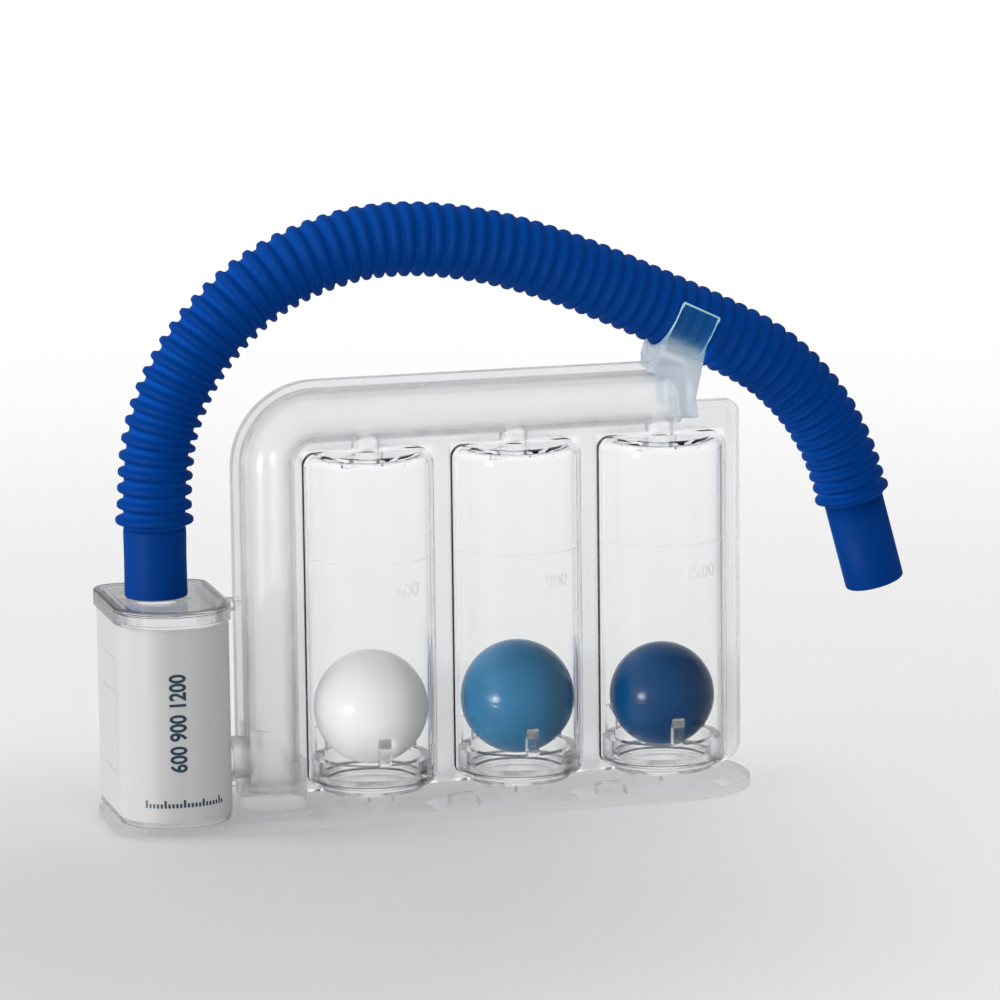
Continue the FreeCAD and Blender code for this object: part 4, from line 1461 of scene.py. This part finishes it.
@dataclass
class HoseClip:
    """The milky clip: the frame's saddle and foot, joined by a body that straddles the end of the duct."""

    seat_radius: float = 11.1 * MM
    half_width: float = 5.3 * MM
    half_angle: float = 71.0
    near_lean: float = 5.0 * MM
    far_lean: float = 1.4 * MM
    lean_change: float = 0.9 * MM
    duct_end: float = 68.15 * MM
    over_flange: float = 113.95 * MM
    beside_duct: float = 8.85 * MM
    hem_x: tuple[float, ...] = (58.5, 60.5, 62.5, 64.4, 65.2, 65.6, 70.7, 71.1, 73.0, 74.0)
    hem_z: tuple[float, ...] = (112.4, 111.3, 110.6, 109.2, 107.4, 100.2, 99.8, 108.0, 111.6, 113.0)
    cheek_start: float = 7.0
    cheek_blend: float = 1.8
    least_wall: float = 0.2 * MM
    rows: int = 42
    columns: int = 84
    voxel: float = 0.28 * MM
    smoothings: int = 18
    smoothing: float = 0.5
    frame_merge: float = 1e-6

    def hem(self, x: np.ndarray, y: np.ndarray) -> np.ndarray:
        """Height of the body's lower edge, read from hem_z beside the duct and past its end.

        Args:
            x: X of each point.
            y: Y of each point.

        Returns:
            The heights.
        """
        low = np.interp(x, np.array(self.hem_x) * MM, np.array(self.hem_z) * MM)
        clear = (np.abs(y) > self.beside_duct) | (x > self.duct_end)
        return np.where(clear, low, self.over_flange)

    def body(self) -> tuple[np.ndarray, np.ndarray]:
        """Points and faces of the body under the saddle.

        Its top lies in the saddle's wall: the centre, plus a distance along the axis, plus the seat
        radius times cosine a downwards and sine a along Y. Its underside is that surface set down to
        the hem. Beside the duct, from cheek_start in millimetres of Y on, it leans back along the duct.

        Returns:
            The points, one row each, and the numbers of each face's points.
        """
        across, up = SADDLE_AXIS
        along = np.linspace(-self.half_width, self.half_width, self.rows)[:, None]
        turn = np.radians(np.linspace(-self.half_angle, self.half_angle, self.columns))[None, :]
        drop = self.seat_radius * np.cos(turn)
        x = SADDLE_CENTRE[0] + along * across + drop * up
        y = self.seat_radius * np.sin(turn) + 0 * along
        z = SADDLE_CENTRE[1] + along * up - drop * across
        top = np.stack([x, y, z], axis=-1)
        share = np.clip((np.abs(y) / MM - self.cheek_start) / self.cheek_blend, 0.0, 1.0)
        lean = np.where(y < 0.0, self.near_lean, self.far_lean)
        low_x = x - share * (lean - self.lean_change * along / self.half_width)
        under = np.stack([low_x, y, np.minimum(self.hem(low_x, y), z - self.least_wall)], axis=-1)
        rows, columns = x.shape
        faces = grid_faces(rows, columns, False, False)
        rim = np.concatenate([np.arange(columns), np.arange(1, rows) * columns + columns - 1,
                              (rows - 1) * columns + np.arange(columns - 2, -1, -1),
                              np.arange(rows - 2, 0, -1) * columns])
        after = np.roll(rim, -1)
        count = rows * columns
        walls = np.stack([rim, after, after + count, rim + count], axis=-1)
        points = np.concatenate([top.reshape(-1, 3), under.reshape(-1, 3)])
        return points, np.concatenate([faces, faces + count, walls])

    def moulded(self, node: Piece) -> Piece:
        """The frame's clip and the body, fused by a voxel remesh and smoothed like a moulding.

        Args:
            node: The frame's clip.

        Returns:
            The piece.
        """
        points, faces = self.body()
        mesh = new_mesh("clip_body", points, faces)
        tidy(mesh)
        work = bmesh.new()
        work.from_mesh(node.data)
        bmesh.ops.remove_doubles(work, verts=work.verts, dist=self.frame_merge)
        bmesh.ops.recalc_face_normals(work, faces=work.faces)
        work.from_mesh(mesh)
        work.to_mesh(mesh)
        work.free()
        holder = linked("clip_body", mesh)
        fused = holder.modifiers.new("fused", "REMESH")
        fused.mode = "VOXEL"
        fused.voxel_size = self.voxel
        soft = holder.modifiers.new("soft", "SMOOTH")
        soft.factor = self.smoothing
        soft.iterations = self.smoothings
        shaped = holder.evaluated_get(bpy.context.evaluated_depsgraph_get())
        final = bpy.data.meshes.new_from_object(shaped)
        bpy.data.objects.remove(holder)
        tidy(final)
        return linked("moulded_clip", final)

    def build(self, nodes: Nodes) -> None:
        """Makes and dresses the clip.

        Args:
            nodes: The frame's pieces, by name.
        """
        piece = self.moulded(nodes["hose_clip"])
        FrostedPlastic("frosted_clip").dress(piece)
        fit(piece, "hose_clip")


# Studio


@dataclass
class Studio:
    """A pale floor, two lamps, a white surround and the camera at the photograph's angle.

    Each lamp is given as its place, its size and its power.
    """

    azimuth: float = -15.2
    elevation: float = 10.4
    roll: float = -0.67
    lens: float = 198.0
    sensor: float = 36.0
    aim: tuple[float, float, float] = (0.0, 0.0, 60.0 * MM)
    shift_right: float = 18.85 * MM
    shift_up: float = 19.99 * MM
    distance: float = 1438.47 * MM
    ambient: float = 0.60
    mirrored: float = 0.30
    floor_colour: Colour = (0.725, 0.725, 0.727)
    floor_rough: float = 0.6
    floor_gloss: float = 0.2
    floor_reach: float = 6.0
    pool_middle: Pair = (-0.08, -0.10)
    near_fade: Pair = (0.05, 0.24)
    far_fade: Pair = (0.25, 0.95)
    near_share: float = 0.55
    key: tuple[Colour, float, float] = ((-1.95, -0.15, 1.25), 2.2, 38.0)
    sparkle: tuple[Colour, float, float] = ((-1.0, -0.58, 0.04), 0.24, 24.0)

    def camera(self) -> None:
        """Places the camera: back along the view direction from the aim, moved right and up in its plane."""
        turn, lift, roll = (math.radians(angle) for angle in (self.azimuth, self.elevation, self.roll))
        back = Vector((math.sin(turn) * math.cos(lift), -math.cos(turn) * math.cos(lift), math.sin(lift)))
        level = Vector((math.cos(turn), math.sin(turn), 0.0))
        upright = back.cross(level)
        right = level * math.cos(roll) + upright * math.sin(roll)
        up = upright * math.cos(roll) - level * math.sin(roll)
        place = Vector(self.aim) + right * self.shift_right + up * self.shift_up + back * self.distance
        lens = bpy.data.cameras.new("camera")
        lens.lens = self.lens
        lens.sensor_width = self.sensor
        lens.clip_start = 0.05
        camera = linked("camera", lens)
        turned = Matrix((right, up, back)).transposed().to_4x4()
        camera.matrix_world = Matrix.Translation(place) @ turned
        bpy.context.scene.camera = camera

    def lamp(self, name: str, place: Colour, size: float, power: float, lights: bool = True) -> None:
        """A square soft lamp that points at the object and shows in its gloss.

        Args:
            name: Its name.
            place: Where it hangs.
            size: The length of its side.
            power: Its power in watts.
            lights: Whether it lights matt surfaces.
        """
        light = bpy.data.lights.new(name, "AREA")
        light.size = size
        light.energy = power
        lamp = linked(name, light)
        aim = Vector(self.aim) - Vector(place)
        lamp.visible_diffuse = lights
        lamp.visible_transmission = False
        lamp.matrix_world = Matrix.Translation(place) @ aim.to_track_quat("-Z", "Y").to_matrix().to_4x4()

    def direct(self, board: Board) -> Value:
        """One for rays that no matt surface has scattered on their way from the camera."""
        kinds = board.rays(Rays.CAMERA, Rays.GLOSSY, Rays.TRANSMISSION)
        return kinds * (board.rays(Rays.SCATTERED) < 0.5)

    def dimmed(self, board: Board) -> Value:
        """One for rays that were mirrored and have passed fewer than three clear surfaces."""
        return (board.rays(Rays.MIRRORED) > 0.5) * (board.rays(Rays.PASSED) < 2.5)

    def surround(self) -> None:
        """White to the eye and through glass, dimmer in reflections, and an ambient light on surfaces."""
        bpy.context.scene.world, board = node_board(bpy.data.worlds, "surround")
        lit, seen, mirrored = board.whites("ShaderNodeBackground", self.ambient, 1.0, self.mirrored)
        board.show(board.blend(self.direct(board), lit, board.blend(self.dimmed(board), seen, mirrored)),
                   "ShaderNodeOutputWorld")

    def floor(self) -> None:
        """Floor that fades from its own pale colour near the object to the surround's white."""
        corners = np.array([(-1, -1, 0), (1, -1, 0), (1, 1, 0), (-1, 1, 0)]) * self.floor_reach
        mesh = new_mesh("floor", corners, np.array([(0, 1, 2, 3)]))
        floor = linked("floor", mesh)
        material, board = node_board(bpy.data.materials, "studio_floor")
        x, y, _ = board.place()
        across = x - self.pool_middle[0]
        behind = y - self.pool_middle[1]
        away = (across * across + behind * behind).root()
        plain = board.plastic({
            "Base Color": self.floor_colour, "Roughness": self.floor_rough,
            "Specular IOR Level": self.floor_gloss,
        })
        white, mirrored = board.whites("ShaderNodeEmission", 1.0, self.mirrored)
        far_share = 1.0 - self.near_share
        fade = self.near_share * away.between(*self.near_fade) + far_share * away.between(*self.far_fade)
        clear = board.blend(self.dimmed(board), white, mirrored)
        board.show(board.blend(fade * self.direct(board), plain, clear))
        mesh.materials.append(material)

    def build(self) -> None:
        """Makes the studio."""
        scene = bpy.context.scene
        scene.view_settings.view_transform = "Standard"
        self.camera()
        self.surround()
        self.floor()
        self.lamp("key", *self.key)
        self.lamp("sparkle", *self.sparkle, lights=False)
        LOG.info("studio built")


def main() -> None:
    """Builds every sub-assembly in order."""
    logging.basicConfig(level=logging.INFO, format="%(message)s")
    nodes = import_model()["nodes"]
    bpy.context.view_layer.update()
    Studio().build()
    Hose().build()
    BallColumns().build(nodes)
    Balls().build(nodes)
    FilterUnit().build(nodes)
    HoseClip().build(nodes)


if __name__ == "__main__":
    main()
